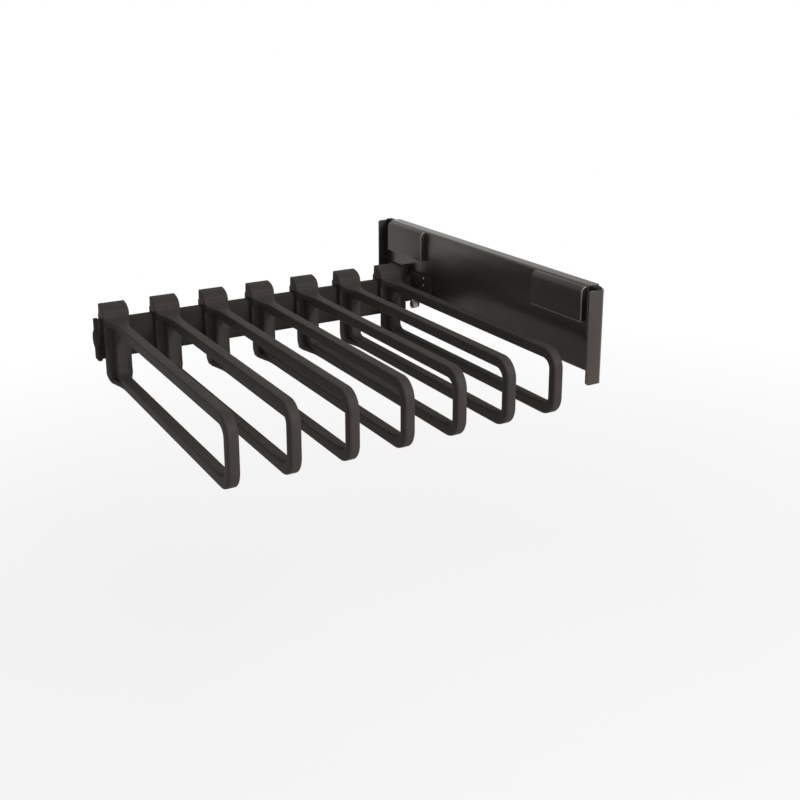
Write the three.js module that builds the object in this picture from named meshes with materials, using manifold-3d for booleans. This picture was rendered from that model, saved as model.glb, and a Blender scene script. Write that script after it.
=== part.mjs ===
// Pull out trouser rack, mounted on the side wall of a wardrobe.
// Millimetres. The origin is the middle of the runner's face on the wall. +X points into the wall,
// +Y to the back of the wardrobe and +Z up, so the rack is pulled out along -Y.
import * as THREE from 'three';
import { mergeVertices } from 'three/addons/utils/BufferGeometryUtils.js';
import Module from 'manifold-3d';

// Clearances shared by all pieces
const seatGap = 0.3; // between a piece and the seat that carries it
const overrun = 2; // how far a cutting body passes the face that it cuts

// Runner: three nested channels with balls in two cages between them
const runnerInset = 8.5; // from each end of the cover to the runner
const runnerHeight = 45;
const runnerDepth = 12.7;
const memberSheet = 1.2;
const memberLip = 1; // inward lip that keeps the balls in their track
const cabinetMemberDepth = 10;
const webSpace = 1.8; // between the webs of the cabinet member and the middle member
const middleEdgePlay = 0.3; // between the middle member's edges and the drawer member's web
const drawerEdgePlay = 1.3; // between the drawer member's edges and the middle member's web
const ballDiameter = 3;
const ballPlay = 0.1;
const ballsPerRow = 4;
const cageShare = 0.5; // length of a cage as a share of the runner's
const cageWidth = 4.6;
const cageSheet = 0.8;
const cageBallPlay = 0.2;
const bumperLength = 6;
const bumperHeight = 32;
const bumperDepth = 8;
const wallHoleInset = 40; // from the runner's end to its outer wall hole
const wallHoleDiameter = 6.5;
const middleHolesInset = 64; // from an outer wall hole to the next one, two steps of the hole row

// Screws and weld nuts that hold the cover on the drawer member
const nutLength = 1.8;
const nutDiameter = 8;
const coverScrewDiameter = 4;
const coverScrewHead = 7;
const coverScrewHeadHeight = 1.5;
const coverScrewInset = 32; // from the runner's end to the outer screw
const coverScrewCount = 4;
const screwPlay = 0.3; // round a screw in its hole

// Cover: a sheet channel, open towards the wall
const coverLength = 417;
const coverHeight = 96;
const coverSheet = 1.5;
const coverBend = 2.5; // outer bend radius
const wallGap = 1; // from the wall to the cover's edges

// End blocks, which plug into the cover's ends and carry the handle strips
const blockLength = 13;
const plugLength = 6;
const runnerNotchPlay = 1; // round the runner in the rear block and the rear strip
const pegDiameter = 5;
const pegLength = 9;
const pegInset = 13; // from the cover's top or bottom edge to a peg

// Handle strips: one at each end, so that the rack can hang on a left or a right wall
const stripWidth = 23;
const stripHeight = 104;
const stripSheet = 2.5;
const stripCorner = 4.5;
const stripBend = 4; // outer radius of the rolled edge next to the wall
const stripReturn = 10; // depth of the rolled edge
const stripProud = 11.5; // how far the finger grip stands out past the cover's face
const stripTopDrop = 2; // from the cover's top down to the strip's top

// Snap-on caps on the cover's face
const capLength = 87;
const capHeight = 39.4;
const capProud = 7;
const capWall = 1.8;
const capTopRound = 6.5;
const capEdgeRound = 1.5;
const capTopDrop = 1.2; // from the cover's top down to a cap's top
const capEndInset = 2.5; // from the cover's end to a cap
const tabWidth = 8;
const tabSheet = 1.8;
const tabBarb = 0.8;
const tabBarbLength = 1.6;
const tabSpacing = 50;

// Cross rail: a flat tube that stands out from the cover, with the hangers hooked over it
const railLength = 414;
const railHeight = 47.5;
const railThickness = 10;
const railWall = 1.5;
const railCorner = 3;
const railFromCoverEnd = 54; // from the cover's rear end forward to the rail's middle
const railTopZ = -18;
const railStandOff = 11; // from the cover's face to the rail's near end

// Rail bracket: a plate on the cover's face with a boss and a tenon for the rail
const plateLength = 107.4;
const plateThickness = 3;
const plateTopZ = -11;
const plateBottomZ = -47;
const plateCorner = 2;
const bossBottomZ = -53.5;
const bossFingerTopZ = -3.5;
const bossFingerWidth = 7.5;
const tenonLength = 32;
const bracketScrewDiameter = 3;
const bracketScrewHead = 4.6;
const bracketScrewHeadHeight = 1.6;
const bracketScrewInset = 17.3; // from the plate's end to a pair of screws
const bracketScrewTopDrop = 4.6; // from the plate's top edge to the upper screw
const bracketScrewPitch = 9.1;
const bracketScrewTip = 1; // past the cover's inner face
const railScrewDiameter = 3.5;
const railScrewHead = 6;
const railScrewHeadHeight = 1.5;
const railScrewLength = 11;
const railScrewPitch = 12;
const railScrewInset = 8; // from the rail's near end

// Adjusting screw with a hex socket, in an ear under the bracket's plate
const adjusterDiameter = 11;
const adjusterLength = 6.7;
const adjusterShank = 5;
const adjusterFrontOffset = 18.5; // from the rail's middle forward to the screw
const adjusterDrop = 7.5; // from the plate's bottom edge down to the screw
const adjusterSocket = 5; // across the flats
const adjusterSocketDepth = 4;
const earDiameter = 9.2;

// End cap of the rail, with a round disc across its middle
const endCapThickness = 4.5;
const endCapSideRim = 2.8; // how far it stands out in front of the rail and behind it
const endCapTopRim = 1; // how far it stands out above and below the rail
const endCapCorner = 2;
const endCapPlug = 14;
const endCapDisc = 24;
const endCapDiscThickness = 3;
const endCapDiscRise = 0.7; // how far the disc stands out past the cap's outer face

// Hangers: closed loops that hook over the rail
const hangerCount = 7;
const nearHangerOffset = 27.3; // from the rail's near end to the middle of the nearest hanger
const farHangerOffset = 17.7; // from the rail's far end to the middle of the farthest hanger
const hangerPastCover = 4; // how far the hangers reach past the cover's front end
const loopHeight = 75;
const loopCorner = 22; // outer radius
const barSize = 12;
const barChamfer = 1;
const barTopRise = 0.2; // from the rail's top up to the top bar's upper face
const ridgeDepth = 21; // of the bar where it runs down the leg
const legWidth = 31;
const legThickness = 6;
const headRise = 17.2;
const headRoundDepth = 19;
const headRoundDrop = 11;
const headFillet = 16; // forward reach of the hollow curve between head and top bar
const hookDrop = 30; // from the rail's top down to the end of the hook behind the rail
const legFillet = 8;
const legCorner = 5;
const flareLength = 54;
const flareControlShare = 0.3; // place of the flank curve's control point along the flare
const flareSteps = 6;
const cornerSteps = 5;

// Sizes and places that follow from the ones above
const runnerLength = coverLength - 2 * runnerInset;
const cageLength = runnerLength * cageShare;
const coverScrewSpacing = (runnerLength - 2 * coverScrewInset) / (coverScrewCount - 1);
const hangerPitch = (railLength - nearHangerOffset - farHangerOffset) / (hangerCount - 1);
const railY = coverLength / 2 - railFromCoverEnd;
const hangerReach = coverLength / 2 + hangerPastCover + railY - railThickness / 2;
const coverBackX = -(runnerDepth + nutLength);
const coverFaceX = coverBackX - coverSheet;
const coverTopZ = coverHeight / 2;
const runnerFrontY = -runnerLength / 2;
const slidingRearY = runnerLength / 2 - bumperLength - seatGap;
const cageMiddleY = (runnerFrontY + slidingRearY) / 2;
const trackGap = ballDiameter + 2 * ballPlay;
const cabinetTrackZ = runnerHeight / 2 - memberSheet;
const middleHalf = cabinetTrackZ - trackGap;
const middleTrackZ = middleHalf - memberSheet;
const drawerHalf = middleTrackZ - trackGap;
const middleWebX = -(memberSheet + webSpace);
const middleEdgeX = -(runnerDepth - memberSheet - middleEdgePlay);
const drawerEdgeX = middleWebX - memberSheet - drawerEdgePlay;
const outerBallX = (middleWebX - cabinetMemberDepth + memberSheet) / 2;
const innerBallX = (drawerEdgeX + middleEdgeX + memberSheet) / 2;
const notchX = middleEdgeX - runnerNotchPlay / 2;
const notchHalf = runnerHeight / 2 + runnerNotchPlay;
const stripFarX = coverFaceX - stripProud;
const stripNearX = stripFarX + stripWidth;
const stripTopZ = coverTopZ - stripTopDrop;
const railNearX = coverFaceX - railStandOff;
const railFarX = railNearX - railLength;
const railBottomZ = railTopZ - railHeight;
const railMiddleZ = (railTopZ + railBottomZ) / 2;
const plateFaceX = coverFaceX - seatGap - plateThickness;
const adjusterY = railY - adjusterFrontOffset;
const adjusterZ = plateBottomZ - adjusterDrop;

// Looks: colour, roughness and metalness of each kind of surface
const coatedSteel = { color: 0x3a3633, roughness: 0.45, metalness: 0.3 };
const moulded = { color: 0x3d3a37, roughness: 0.6, metalness: 0 };
const hangerPlastic = { color: 0x403b38, roughness: 0.55, metalness: 0 };
const galvanised = { color: 0xa5a8aa, roughness: 0.35, metalness: 0.9 };
const zinc = { color: 0x8f8a86, roughness: 0.4, metalness: 0.8 };
const ballSteel = { color: 0xc4c6c8, roughness: 0.15, metalness: 1 };
const cagePlastic = { color: 0xd8d6cf, roughness: 0.6, metalness: 0 };
const softRubber = { color: 0x26262a, roughness: 0.9, metalness: 0 };

const wasm = await Module();
wasm.setup();

// Joining and cutting

function solidOf(geometry) {
  const bare = geometry.index ? geometry.clone() : geometry;
  bare.deleteAttribute('normal');
  bare.deleteAttribute('uv');
  const welded = mergeVertices(bare);
  return new wasm.Manifold(new wasm.Mesh({
    numProp: 3,
    vertProperties: new Float32Array(welded.attributes.position.array),
    triVerts: new Uint32Array(welded.index.array),
  }));
}

function geometryOf(solid) {
  const mesh = solid.getMesh();
  const geometry = new THREE.BufferGeometry();
  geometry.setAttribute('position', new THREE.BufferAttribute(mesh.vertProperties, 3));
  geometry.setIndex(new THREE.BufferAttribute(mesh.triVerts, 1));
  geometry.computeVertexNormals();
  return geometry;
}

function joined(...geometries) {
  return geometryOf(geometries.map(solidOf).reduce((sum, solid) => sum.add(solid)));
}

function cut(body, ...tools) {
  return geometryOf(tools.map(solidOf).reduce((rest, tool) => rest.subtract(tool), solidOf(body)));
}

function common(first, second) {
  return geometryOf(solidOf(first).intersect(solidOf(second)));
}

// Basic bodies. Each is given by its low and high ends along the axis that it is extruded on.

function extruded(shape, length, curveSegments) {
  return new THREE.ExtrudeGeometry(shape, { depth: length, bevelEnabled: false, steps: 1, curveSegments });
}

// The outline holds (Y, Z) points and is extruded along X
function alongX(shape, lowX, highX, curveSegments = 4) {
  const turn = new THREE.Matrix4().set(0, 0, 1, lowX, 1, 0, 0, 0, 0, 1, 0, 0, 0, 0, 0, 1);
  return extruded(shape, highX - lowX, curveSegments).applyMatrix4(turn);
}

// The outline holds (X, Z) points and is extruded along Y
function alongY(shape, lowY, highY, curveSegments = 4) {
  return extruded(shape, highY - lowY, curveSegments).rotateX(Math.PI / 2).translate(0, highY, 0);
}

// The outline holds (X, Y) points and is extruded along Z
function alongZ(shape, lowZ, highZ, curveSegments = 4) {
  return extruded(shape, highZ - lowZ, curveSegments).translate(0, 0, lowZ);
}

function box(low, high) {
  const size = high.map((end, axis) => end - low[axis]);
  const middle = high.map((end, axis) => (end + low[axis]) / 2);
  return new THREE.BoxGeometry(...size).translate(...middle);
}

// A bar with its axis along X
function barX(diameter, lowX, highX, y, z, sides = 12) {
  return new THREE.CylinderGeometry(diameter / 2, diameter / 2, highX - lowX, sides)
    .rotateZ(Math.PI / 2).translate((lowX + highX) / 2, y, z);
}

// A bar with its axis along Y
function barY(diameter, lowY, highY, x, z, sides = 12) {
  return new THREE.CylinderGeometry(diameter / 2, diameter / 2, highY - lowY, sides)
    .translate(x, (lowY + highY) / 2, z);
}

// A bar with its axis along Z
function barZ(diameter, lowZ, highZ, x, y, sides = 12) {
  return new THREE.CylinderGeometry(diameter / 2, diameter / 2, highZ - lowZ, sides)
    .rotateX(Math.PI / 2).translate(x, y, (lowZ + highZ) / 2);
}

// Outlines

function polygon(points) {
  return new THREE.Shape(points.map(([a, b]) => new THREE.Vector2(a, b)));
}

function roundedRectangle(lowA, highA, lowB, highB, radius) {
  const shape = new THREE.Shape();
  shape.absarc(highA - radius, highB - radius, radius, 0, Math.PI / 2);
  shape.absarc(lowA + radius, highB - radius, radius, Math.PI / 2, Math.PI);
  shape.absarc(lowA + radius, lowB + radius, radius, Math.PI, 1.5 * Math.PI);
  shape.absarc(highA - radius, lowB + radius, radius, 1.5 * Math.PI, 2 * Math.PI);
  shape.closePath();
  return shape;
}

function evenlySpaced(count, pitch) {
  return Array.from({ length: count }, (_, step) => (step - (count - 1) / 2) * pitch);
}

// Runner

// A channel in (X, Z): its web at webX, its flanges to edgeX, and a lip turned in on each flange
function channelSection(webX, edgeX, halfHeight, lip) {
  const inward = Math.sign(edgeX - webX) * memberSheet;
  const track = halfHeight - memberSheet;
  const upper = [[webX + inward, track]];
  if (lip > 0) {
    upper.push([edgeX - inward, track], [edgeX - inward, track - lip], [edgeX, track - lip]);
  } else {
    upper.push([edgeX, track]);
  }
  upper.push([edgeX, halfHeight], [webX, halfHeight]);
  const lower = upper.map(([x, z]) => [x, -z]).reverse();
  return polygon([...upper, ...lower]);
}

function cabinetMember() {
  const section = channelSection(0, -cabinetMemberDepth, runnerHeight / 2, memberLip);
  const channel = alongY(section, runnerFrontY, runnerLength / 2);
  const outer = runnerLength / 2 - wallHoleInset;
  const inner = outer - middleHolesInset;
  const holes = [-outer, -inner, inner, outer].map(
    (y) => barX(wallHoleDiameter, -memberSheet - overrun, overrun, y, 0));
  return cut(channel, ...holes);
}

function middleMember() {
  return alongY(channelSection(middleWebX, middleEdgeX, middleHalf, memberLip), runnerFrontY, slidingRearY);
}

function coverScrewYs() {
  return evenlySpaced(coverScrewCount, coverScrewSpacing);
}

function drawerMember() {
  const section = channelSection(-runnerDepth, drawerEdgeX, drawerHalf, 0);
  const channel = alongY(section, runnerFrontY, slidingRearY);
  const holes = coverScrewYs().map((y) => barX(
    coverScrewDiameter + 2 * screwPlay, -runnerDepth - overrun, -runnerDepth + memberSheet + overrun, y, 0));
  return cut(channel, ...holes);
}

function ballYs() {
  return evenlySpaced(ballsPerRow, cageLength / ballsPerRow).map((y) => cageMiddleY + y);
}

// A strip with a round hole for each ball of its row
function cageStrip(ballX, ballZ) {
  const strip = box(
    [ballX - cageWidth / 2, cageMiddleY - cageLength / 2, ballZ - cageSheet / 2],
    [ballX + cageWidth / 2, cageMiddleY + cageLength / 2, ballZ + cageSheet / 2]);
  const pocket = ballDiameter + 2 * cageBallPlay;
  const holes = ballYs().map((y) => barZ(
    pocket, ballZ - cageSheet / 2 - overrun, ballZ + cageSheet / 2 + overrun, ballX, y));
  return cut(strip, ...holes);
}

function ball() {
  return new THREE.IcosahedronGeometry(ballDiameter / 2, 1);
}

function ballPlaces(ballX, ballZ) {
  return ballYs().flatMap((y) => [[ballX, y, ballZ], [ballX, y, -ballZ]]);
}

// Rubber block at the back of the cabinet member, where the sliding members come to rest
function closingBumper() {
  return box(
    [-memberSheet - seatGap - bumperDepth, runnerLength / 2 - bumperLength, -bumperHeight / 2],
    [-memberSheet - seatGap, runnerLength / 2, bumperHeight / 2]);
}

// Cover and its fastenings

function coverScrewPlaces() {
  return coverScrewYs().map((y) => [0, y, 0]);
}

function weldNut() {
  return cut(
    barX(nutDiameter, coverBackX, -runnerDepth, 0, 0, 6),
    barX(coverScrewDiameter + 2 * screwPlay, coverBackX - overrun, -runnerDepth + overrun, 0, 0));
}

// Pan-head screw inside the drawer member, driven into a weld nut
function coverScrew() {
  const webInnerX = -runnerDepth + memberSheet;
  return joined(
    barX(coverScrewHead, webInnerX, webInnerX + coverScrewHeadHeight, 0, 0),
    barX(coverScrewDiameter, coverBackX + seatGap, webInnerX + coverScrewHeadHeight / 2, 0, 0));
}

function coverSection() {
  const bendX = coverFaceX + coverBend;
  const bendZ = coverTopZ - coverBend;
  const insideBend = coverBend - coverSheet;
  const shape = new THREE.Shape();
  shape.moveTo(-wallGap, -coverTopZ);
  shape.absarc(bendX, -bendZ, coverBend, 1.5 * Math.PI, Math.PI, true);
  shape.absarc(bendX, bendZ, coverBend, Math.PI, Math.PI / 2, true);
  shape.lineTo(-wallGap, coverTopZ);
  shape.lineTo(-wallGap, coverTopZ - coverSheet);
  shape.absarc(bendX, bendZ, insideBend, Math.PI / 2, Math.PI, false);
  shape.absarc(bendX, -bendZ, insideBend, Math.PI, 1.5 * Math.PI, false);
  shape.lineTo(-wallGap, -coverTopZ + coverSheet);
  shape.closePath();
  return shape;
}

function capMiddleY() {
  return coverLength / 2 - capEndInset - capLength / 2;
}

function capTopZ() {
  return coverTopZ - capTopDrop;
}

function tabPlaces() {
  const z = capTopZ() - capHeight / 2;
  return [-tabSpacing / 2, tabSpacing / 2].map((y) => ({ y, z }));
}

function bracketScrewPlaces() {
  const half = plateLength / 2 - bracketScrewInset;
  const upperZ = plateTopZ - bracketScrewTopDrop;
  const lowerZ = upperZ - bracketScrewPitch;
  return [-half, half].flatMap((y) => [[0, railY + y, upperZ], [0, railY + y, lowerZ]]);
}

function coverPanel() {
  const slots = [-capMiddleY(), capMiddleY()].flatMap((middle) => tabPlaces().map(({ y, z }) => box(
    [coverFaceX - overrun, middle + y - tabWidth / 2 - seatGap, z - tabSheet / 2 - seatGap],
    [coverBackX + overrun, middle + y + tabWidth / 2 + seatGap, z + tabSheet / 2 + tabBarb + seatGap])));
  const holes = bracketScrewPlaces().map(([, y, z]) => barX(
    bracketScrewDiameter + 2 * screwPlay, coverFaceX - overrun, coverBackX + overrun, y, z));
  return cut(alongY(coverSection(), -coverLength / 2, coverLength / 2), ...slots, ...holes);
}

// A cap's outline in (X, Z), drawn in by the given wall
function capSection(inset) {
  const topRound = Math.max(capTopRound - inset, capEdgeRound);
  const edgeRound = capEdgeRound - Math.min(inset, capEdgeRound / 2);
  const faceX = coverFaceX - capProud + inset;
  const topZ = capTopZ() - inset;
  const bottomZ = capTopZ() - capHeight + inset;
  const backX = coverFaceX - seatGap + (inset > 0 ? overrun : 0);
  const shape = new THREE.Shape();
  shape.moveTo(backX, bottomZ);
  shape.absarc(faceX + edgeRound, bottomZ + edgeRound, edgeRound, 1.5 * Math.PI, Math.PI, true);
  shape.absarc(faceX + topRound, topZ - topRound, topRound, Math.PI, Math.PI / 2, true);
  shape.lineTo(backX, topZ);
  shape.closePath();
  return shape;
}

// Hollow cap with two barbed tabs that snap into slots in the cover
function snapCap(middleY) {
  const lowY = middleY - capLength / 2;
  const highY = middleY + capLength / 2;
  const faceX = coverFaceX - capProud;
  const plan = roundedRectangle(faceX, coverFaceX - seatGap, lowY, highY, capEdgeRound);
  const squareBack = box(
    [coverFaceX - seatGap - capProud / 2, lowY, capTopZ() - capHeight],
    [coverFaceX - seatGap, highY, capTopZ()]);
  const outside = common(
    joined(alongZ(plan, capTopZ() - capHeight, capTopZ()), squareBack),
    alongY(capSection(0), lowY, highY));
  const hollow = alongY(capSection(capWall), lowY + capWall, highY - capWall);
  const tabs = tabPlaces().map(({ y, z }) => {
    const rootX = faceX + capWall / 2;
    const barbX = coverBackX + seatGap;
    const outline = polygon([
      [rootX, z - tabSheet / 2],
      [barbX + tabBarbLength, z - tabSheet / 2],
      [barbX + tabBarbLength, z + tabSheet / 2],
      [barbX, z + tabSheet / 2 + tabBarb],
      [barbX, z + tabSheet / 2],
      [rootX, z + tabSheet / 2],
    ]);
    return alongY(outline, middleY + y - tabWidth / 2, middleY + y + tabWidth / 2);
  });
  return joined(cut(outside, hollow), ...tabs);
}

// End blocks and handle strips. Both are made for the front end; the rear ones are mirrored.

function pegPlaces() {
  const x = (coverFaceX + stripNearX - stripSheet) / 2;
  return [coverTopZ - pegInset, -coverTopZ + pegInset].map((z) => [x, z]);
}

// The way that the fixed and middle members need through the rear block and the rear strip
function runnerNotch() {
  const reach = coverLength / 2 + blockLength + stripSheet + stripReturn + overrun;
  return box([notchX, -reach, -notchHalf], [overrun, reach, notchHalf]);
}

function endBlock() {
  const endY = -coverLength / 2;
  const frontY = endY - blockLength;
  const nearX = stripNearX - stripSheet - seatGap;
  const bevel = stripBend - stripSheet;
  const outer = alongZ(polygon([
    [coverFaceX + seatGap, frontY],
    [nearX - bevel, frontY],
    [nearX, frontY + bevel],
    [nearX, endY - seatGap],
    [coverFaceX + seatGap, endY - seatGap],
  ]), -coverTopZ, coverTopZ);
  const inner = coverTopZ - coverSheet - seatGap;
  const plug = box(
    [coverBackX + coverBend, endY - seatGap - overrun, -inner],
    [-wallGap - seatGap, endY + plugLength, inner]);
  const neck = box(
    [coverBackX + seatGap, endY - seatGap - overrun, -inner + coverBend],
    [-wallGap - seatGap, endY + plugLength, inner - coverBend]);
  const holes = pegPlaces().map(([x, z]) => barY(
    pegDiameter + 2 * seatGap, frontY - overrun, frontY + pegLength + seatGap, x, z));
  return cut(joined(outer, plug, neck), ...holes);
}

function handleStrip() {
  const backY = -coverLength / 2 - blockLength - seatGap;
  const frontY = backY - stripSheet;
  const insideBend = stripBend - stripSheet;
  const section = new THREE.Shape();
  section.moveTo(stripFarX, backY);
  const edge = stripSheet / 2;
  const bendX = stripNearX - stripBend;
  const bendY = frontY + stripBend;
  section.absarc(stripFarX + edge, frontY + edge, edge, Math.PI, 1.5 * Math.PI);
  section.absarc(bendX, bendY, stripBend, 1.5 * Math.PI, 2 * Math.PI);
  section.lineTo(stripNearX, frontY + stripReturn);
  section.lineTo(stripNearX - stripSheet, frontY + stripReturn);
  section.absarc(bendX, bendY, insideBend, 2 * Math.PI, 1.5 * Math.PI, true);
  section.closePath();
  const bottomZ = stripTopZ - stripHeight;
  const face = roundedRectangle(stripFarX, stripNearX, bottomZ, stripTopZ, stripCorner);
  const plate = common(
    alongZ(section, bottomZ, stripTopZ),
    alongY(face, frontY - overrun, frontY + stripReturn + overrun));
  const pegs = pegPlaces().map(([x, z]) => barY(
    pegDiameter, frontY + stripSheet / 2, backY + pegLength, x, z));
  return joined(plate, ...pegs);
}

// The same piece for the rack's other end. The triangles are turned over to keep facing outward.
function mirroredInY(geometry) {
  const mirrored = geometry.clone().scale(1, -1, 1);
  return mirrored.setIndex([...mirrored.index.array].reverse());
}

// Cross rail with its bracket, screws and end cap

function railSection(outset) {
  const half = railThickness / 2 + outset;
  return roundedRectangle(
    railY - half, railY + half, railBottomZ - outset, railTopZ + outset, railCorner + outset);
}

function crossRail() {
  const section = railSection(0);
  section.holes.push(railSection(-railWall));
  const tube = alongX(section, railFarX, railNearX, 3);
  const holes = railScrewXs().map((x) => barZ(
    railScrewDiameter + 2 * screwPlay, railBottomZ - overrun, railBottomZ + railWall + overrun, x, railY));
  return cut(tube, ...holes);
}

function railScrewXs() {
  const first = railNearX - railScrewInset;
  return [first, first - railScrewPitch];
}

function railBracket() {
  const frontY = railY - plateLength / 2;
  const rearY = railY + plateLength / 2;
  const backX = coverFaceX - seatGap;
  const outline = roundedRectangle(frontY, rearY, plateBottomZ, plateTopZ, plateCorner);
  const plate = alongX(outline, plateFaceX, backX);
  const earHalf = earDiameter / 2;
  const ear = joined(
    barX(earDiameter, plateFaceX, backX, adjusterY, adjusterZ),
    box([plateFaceX, adjusterY - earHalf, adjusterZ], [backX, adjusterY + earHalf, plateTopZ]));
  const half = railThickness / 2;
  const boss = box([railNearX + seatGap, railY - half, bossBottomZ], [backX, railY + half, railTopZ]);
  const finger = box(
    [railNearX + seatGap, railY + half - bossFingerWidth, bossBottomZ],
    [backX, railY + half, bossFingerTopZ]);
  const tenonHalf = half - railWall - seatGap;
  const tenonTop = railTopZ - railWall - seatGap;
  const tenonBottom = railBottomZ + railWall + seatGap;
  const tenon = box(
    [railNearX - tenonLength, railY - tenonHalf, tenonBottom + railCorner / 2],
    [plateFaceX, railY + tenonHalf, tenonTop - railCorner / 2]);
  const trimmed = cut(tenon, box(
    [railNearX + seatGap, railY - half, tenonBottom - overrun], [backX, railY + half, bossBottomZ]));
  const sinks = bracketScrewPlaces().map(([, y, z]) => joined(
    barX(bracketScrewHead + 2 * screwPlay, plateFaceX - overrun, plateFaceX + bracketScrewHeadHeight, y, z),
    barX(bracketScrewDiameter + 2 * screwPlay, plateFaceX, backX + overrun, y, z)));
  const pilots = railScrewXs().map((x) => barZ(
    railScrewDiameter + 2 * screwPlay, railBottomZ, railBottomZ + railScrewLength + seatGap, x, railY));
  const threaded = barX(
    adjusterShank + 2 * screwPlay, plateFaceX - overrun, backX + overrun, adjusterY, adjusterZ);
  return cut(joined(plate, ear, boss, finger, trimmed), ...sinks, ...pilots, threaded);
}

function bracketScrew() {
  const headX = plateFaceX + bracketScrewHeadHeight - seatGap;
  return joined(
    barX(bracketScrewHead, headX - bracketScrewHeadHeight + seatGap, headX, 0, 0),
    barX(bracketScrewDiameter, headX - bracketScrewHeadHeight / 2, coverBackX + bracketScrewTip, 0, 0));
}

function railScrew() {
  const headTopZ = railBottomZ - seatGap;
  return joined(
    barZ(railScrewHead, headTopZ - railScrewHeadHeight, headTopZ, 0, railY),
    barZ(railScrewDiameter, headTopZ - railScrewHeadHeight / 2, railBottomZ + railScrewLength, 0, railY));
}

function adjustingScrew() {
  const headX = plateFaceX - seatGap;
  const headEndX = headX - adjusterLength;
  const socketDiameter = adjusterSocket / Math.cos(Math.PI / 6);
  return cut(
    joined(
      barX(adjusterDiameter, headEndX, headX, adjusterY, adjusterZ, 24),
      barX(adjusterShank, headX - adjusterLength / 4, coverFaceX - seatGap, adjusterY, adjusterZ)),
    barX(socketDiameter, headEndX - overrun, headEndX + adjusterSocketDepth, adjusterY, adjusterZ, 6));
}

function railEndCap() {
  const innerX = railFarX - seatGap;
  const outerX = innerX - endCapThickness;
  const half = railThickness / 2 + endCapSideRim;
  const outline = roundedRectangle(
    railY - half, railY + half, railBottomZ - endCapTopRim, railTopZ + endCapTopRim, endCapCorner);
  const discX = outerX - endCapDiscRise;
  return joined(
    alongX(outline, outerX, innerX),
    barX(endCapDisc, discX, discX + endCapDiscThickness, railY, railMiddleZ, 32),
    alongX(railSection(-railWall - seatGap), innerX - endCapThickness / 2, railFarX + endCapPlug, 3));
}

// Hangers, drawn about the middle of the rail's top: y along the hanger, z up

const hookBackY = railThickness / 2 + seatGap + legThickness;
const legBackY = -railThickness / 2 - seatGap;
const legFrontY = legBackY - legThickness;
const loopFrontY = -railThickness / 2 - hangerReach;
const loopBottomZ = barTopRise - loopHeight;

// Eight corners of the bar's section. Each has its place across, 1 where it is on the loop's outer
// face or 0 on the inner one, and how far the chamfer brings it back from that face.
function barSection() {
  const half = barSize / 2;
  const outer = [[half, 1, barChamfer], [half - barChamfer, 1, 0]];
  const upper = [...outer, ...outer.map(([across, face, back]) => [-across, face, back]).reverse()];
  return [...upper, ...upper.map(([across, , back]) => [-across, 0, back])];
}

// A skin over rings of points that follow each other. An open run is closed by two end faces.
function skinned(rings, isLoop) {
  const sides = rings[0].length;
  const triangles = [];
  const lastRing = isLoop ? rings.length : rings.length - 1;
  for (let ring = 0; ring < lastRing; ring += 1) {
    const here = ring * sides;
    const next = ((ring + 1) % rings.length) * sides;
    for (let side = 0; side < sides; side += 1) {
      const beside = (side + 1) % sides;
      triangles.push(here + side, here + beside, next + side);
      triangles.push(next + side, here + beside, next + beside);
    }
  }
  if (!isLoop) {
    const end = (rings.length - 1) * sides;
    for (let side = 1; side < sides - 1; side += 1) {
      triangles.push(0, side + 1, side);
      triangles.push(end, end + side, end + side + 1);
    }
  }
  const geometry = new THREE.BufferGeometry();
  geometry.setAttribute('position', new THREE.Float32BufferAttribute(rings.flat(2), 3));
  geometry.setIndex(triangles);
  return geometry;
}

// Middles of the corner arcs of a rounded rectangle in (y, z)
function cornerMiddles(lowY, highY, lowZ, highZ, radius) {
  return [
    [highY - radius, highZ - radius], [lowY + radius, highZ - radius],
    [lowY + radius, lowZ + radius], [highY - radius, lowZ + radius],
  ];
}

// The closed bar between two rounded rectangles in (y, z). It is deeper where it runs down the leg.
function hangerLoop() {
  const innerCorner = loopCorner - barSize;
  const outerMiddles = cornerMiddles(loopFrontY, legBackY, loopBottomZ, barTopRise, loopCorner);
  const innerMiddles = cornerMiddles(
    loopFrontY + barSize, legBackY - ridgeDepth, loopBottomZ + barSize, barTopRise - barSize, innerCorner);
  const bend = Array.from({ length: cornerSteps + 1 }, (_, step) => step / cornerSteps);
  const rings = outerMiddles.flatMap((outerMiddle, corner) => bend.map((share) => {
    const angle = (corner + share) * Math.PI / 2;
    return barSection().map(([across, face, back]) => {
      const [middleY, middleZ] = face ? outerMiddle : innerMiddles[corner];
      const reach = face ? loopCorner - back : innerCorner + back;
      return [across, middleY + reach * Math.cos(angle), middleZ + reach * Math.sin(angle)];
    });
  }));
  return skinned(rings, true);
}

// Half width of the bar where it widens towards the leg: share 0 at the plain bar, 1 at the leg.
// The flank is a quadratic curve that leaves the bar without a corner.
function flareHalfWidth(share) {
  const gain = (legWidth - barSize) / 2;
  const bend = (share - flareControlShare) / (1 - flareControlShare);
  return barSize / 2 + gain * Math.max(0, bend) ** 2;
}

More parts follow.
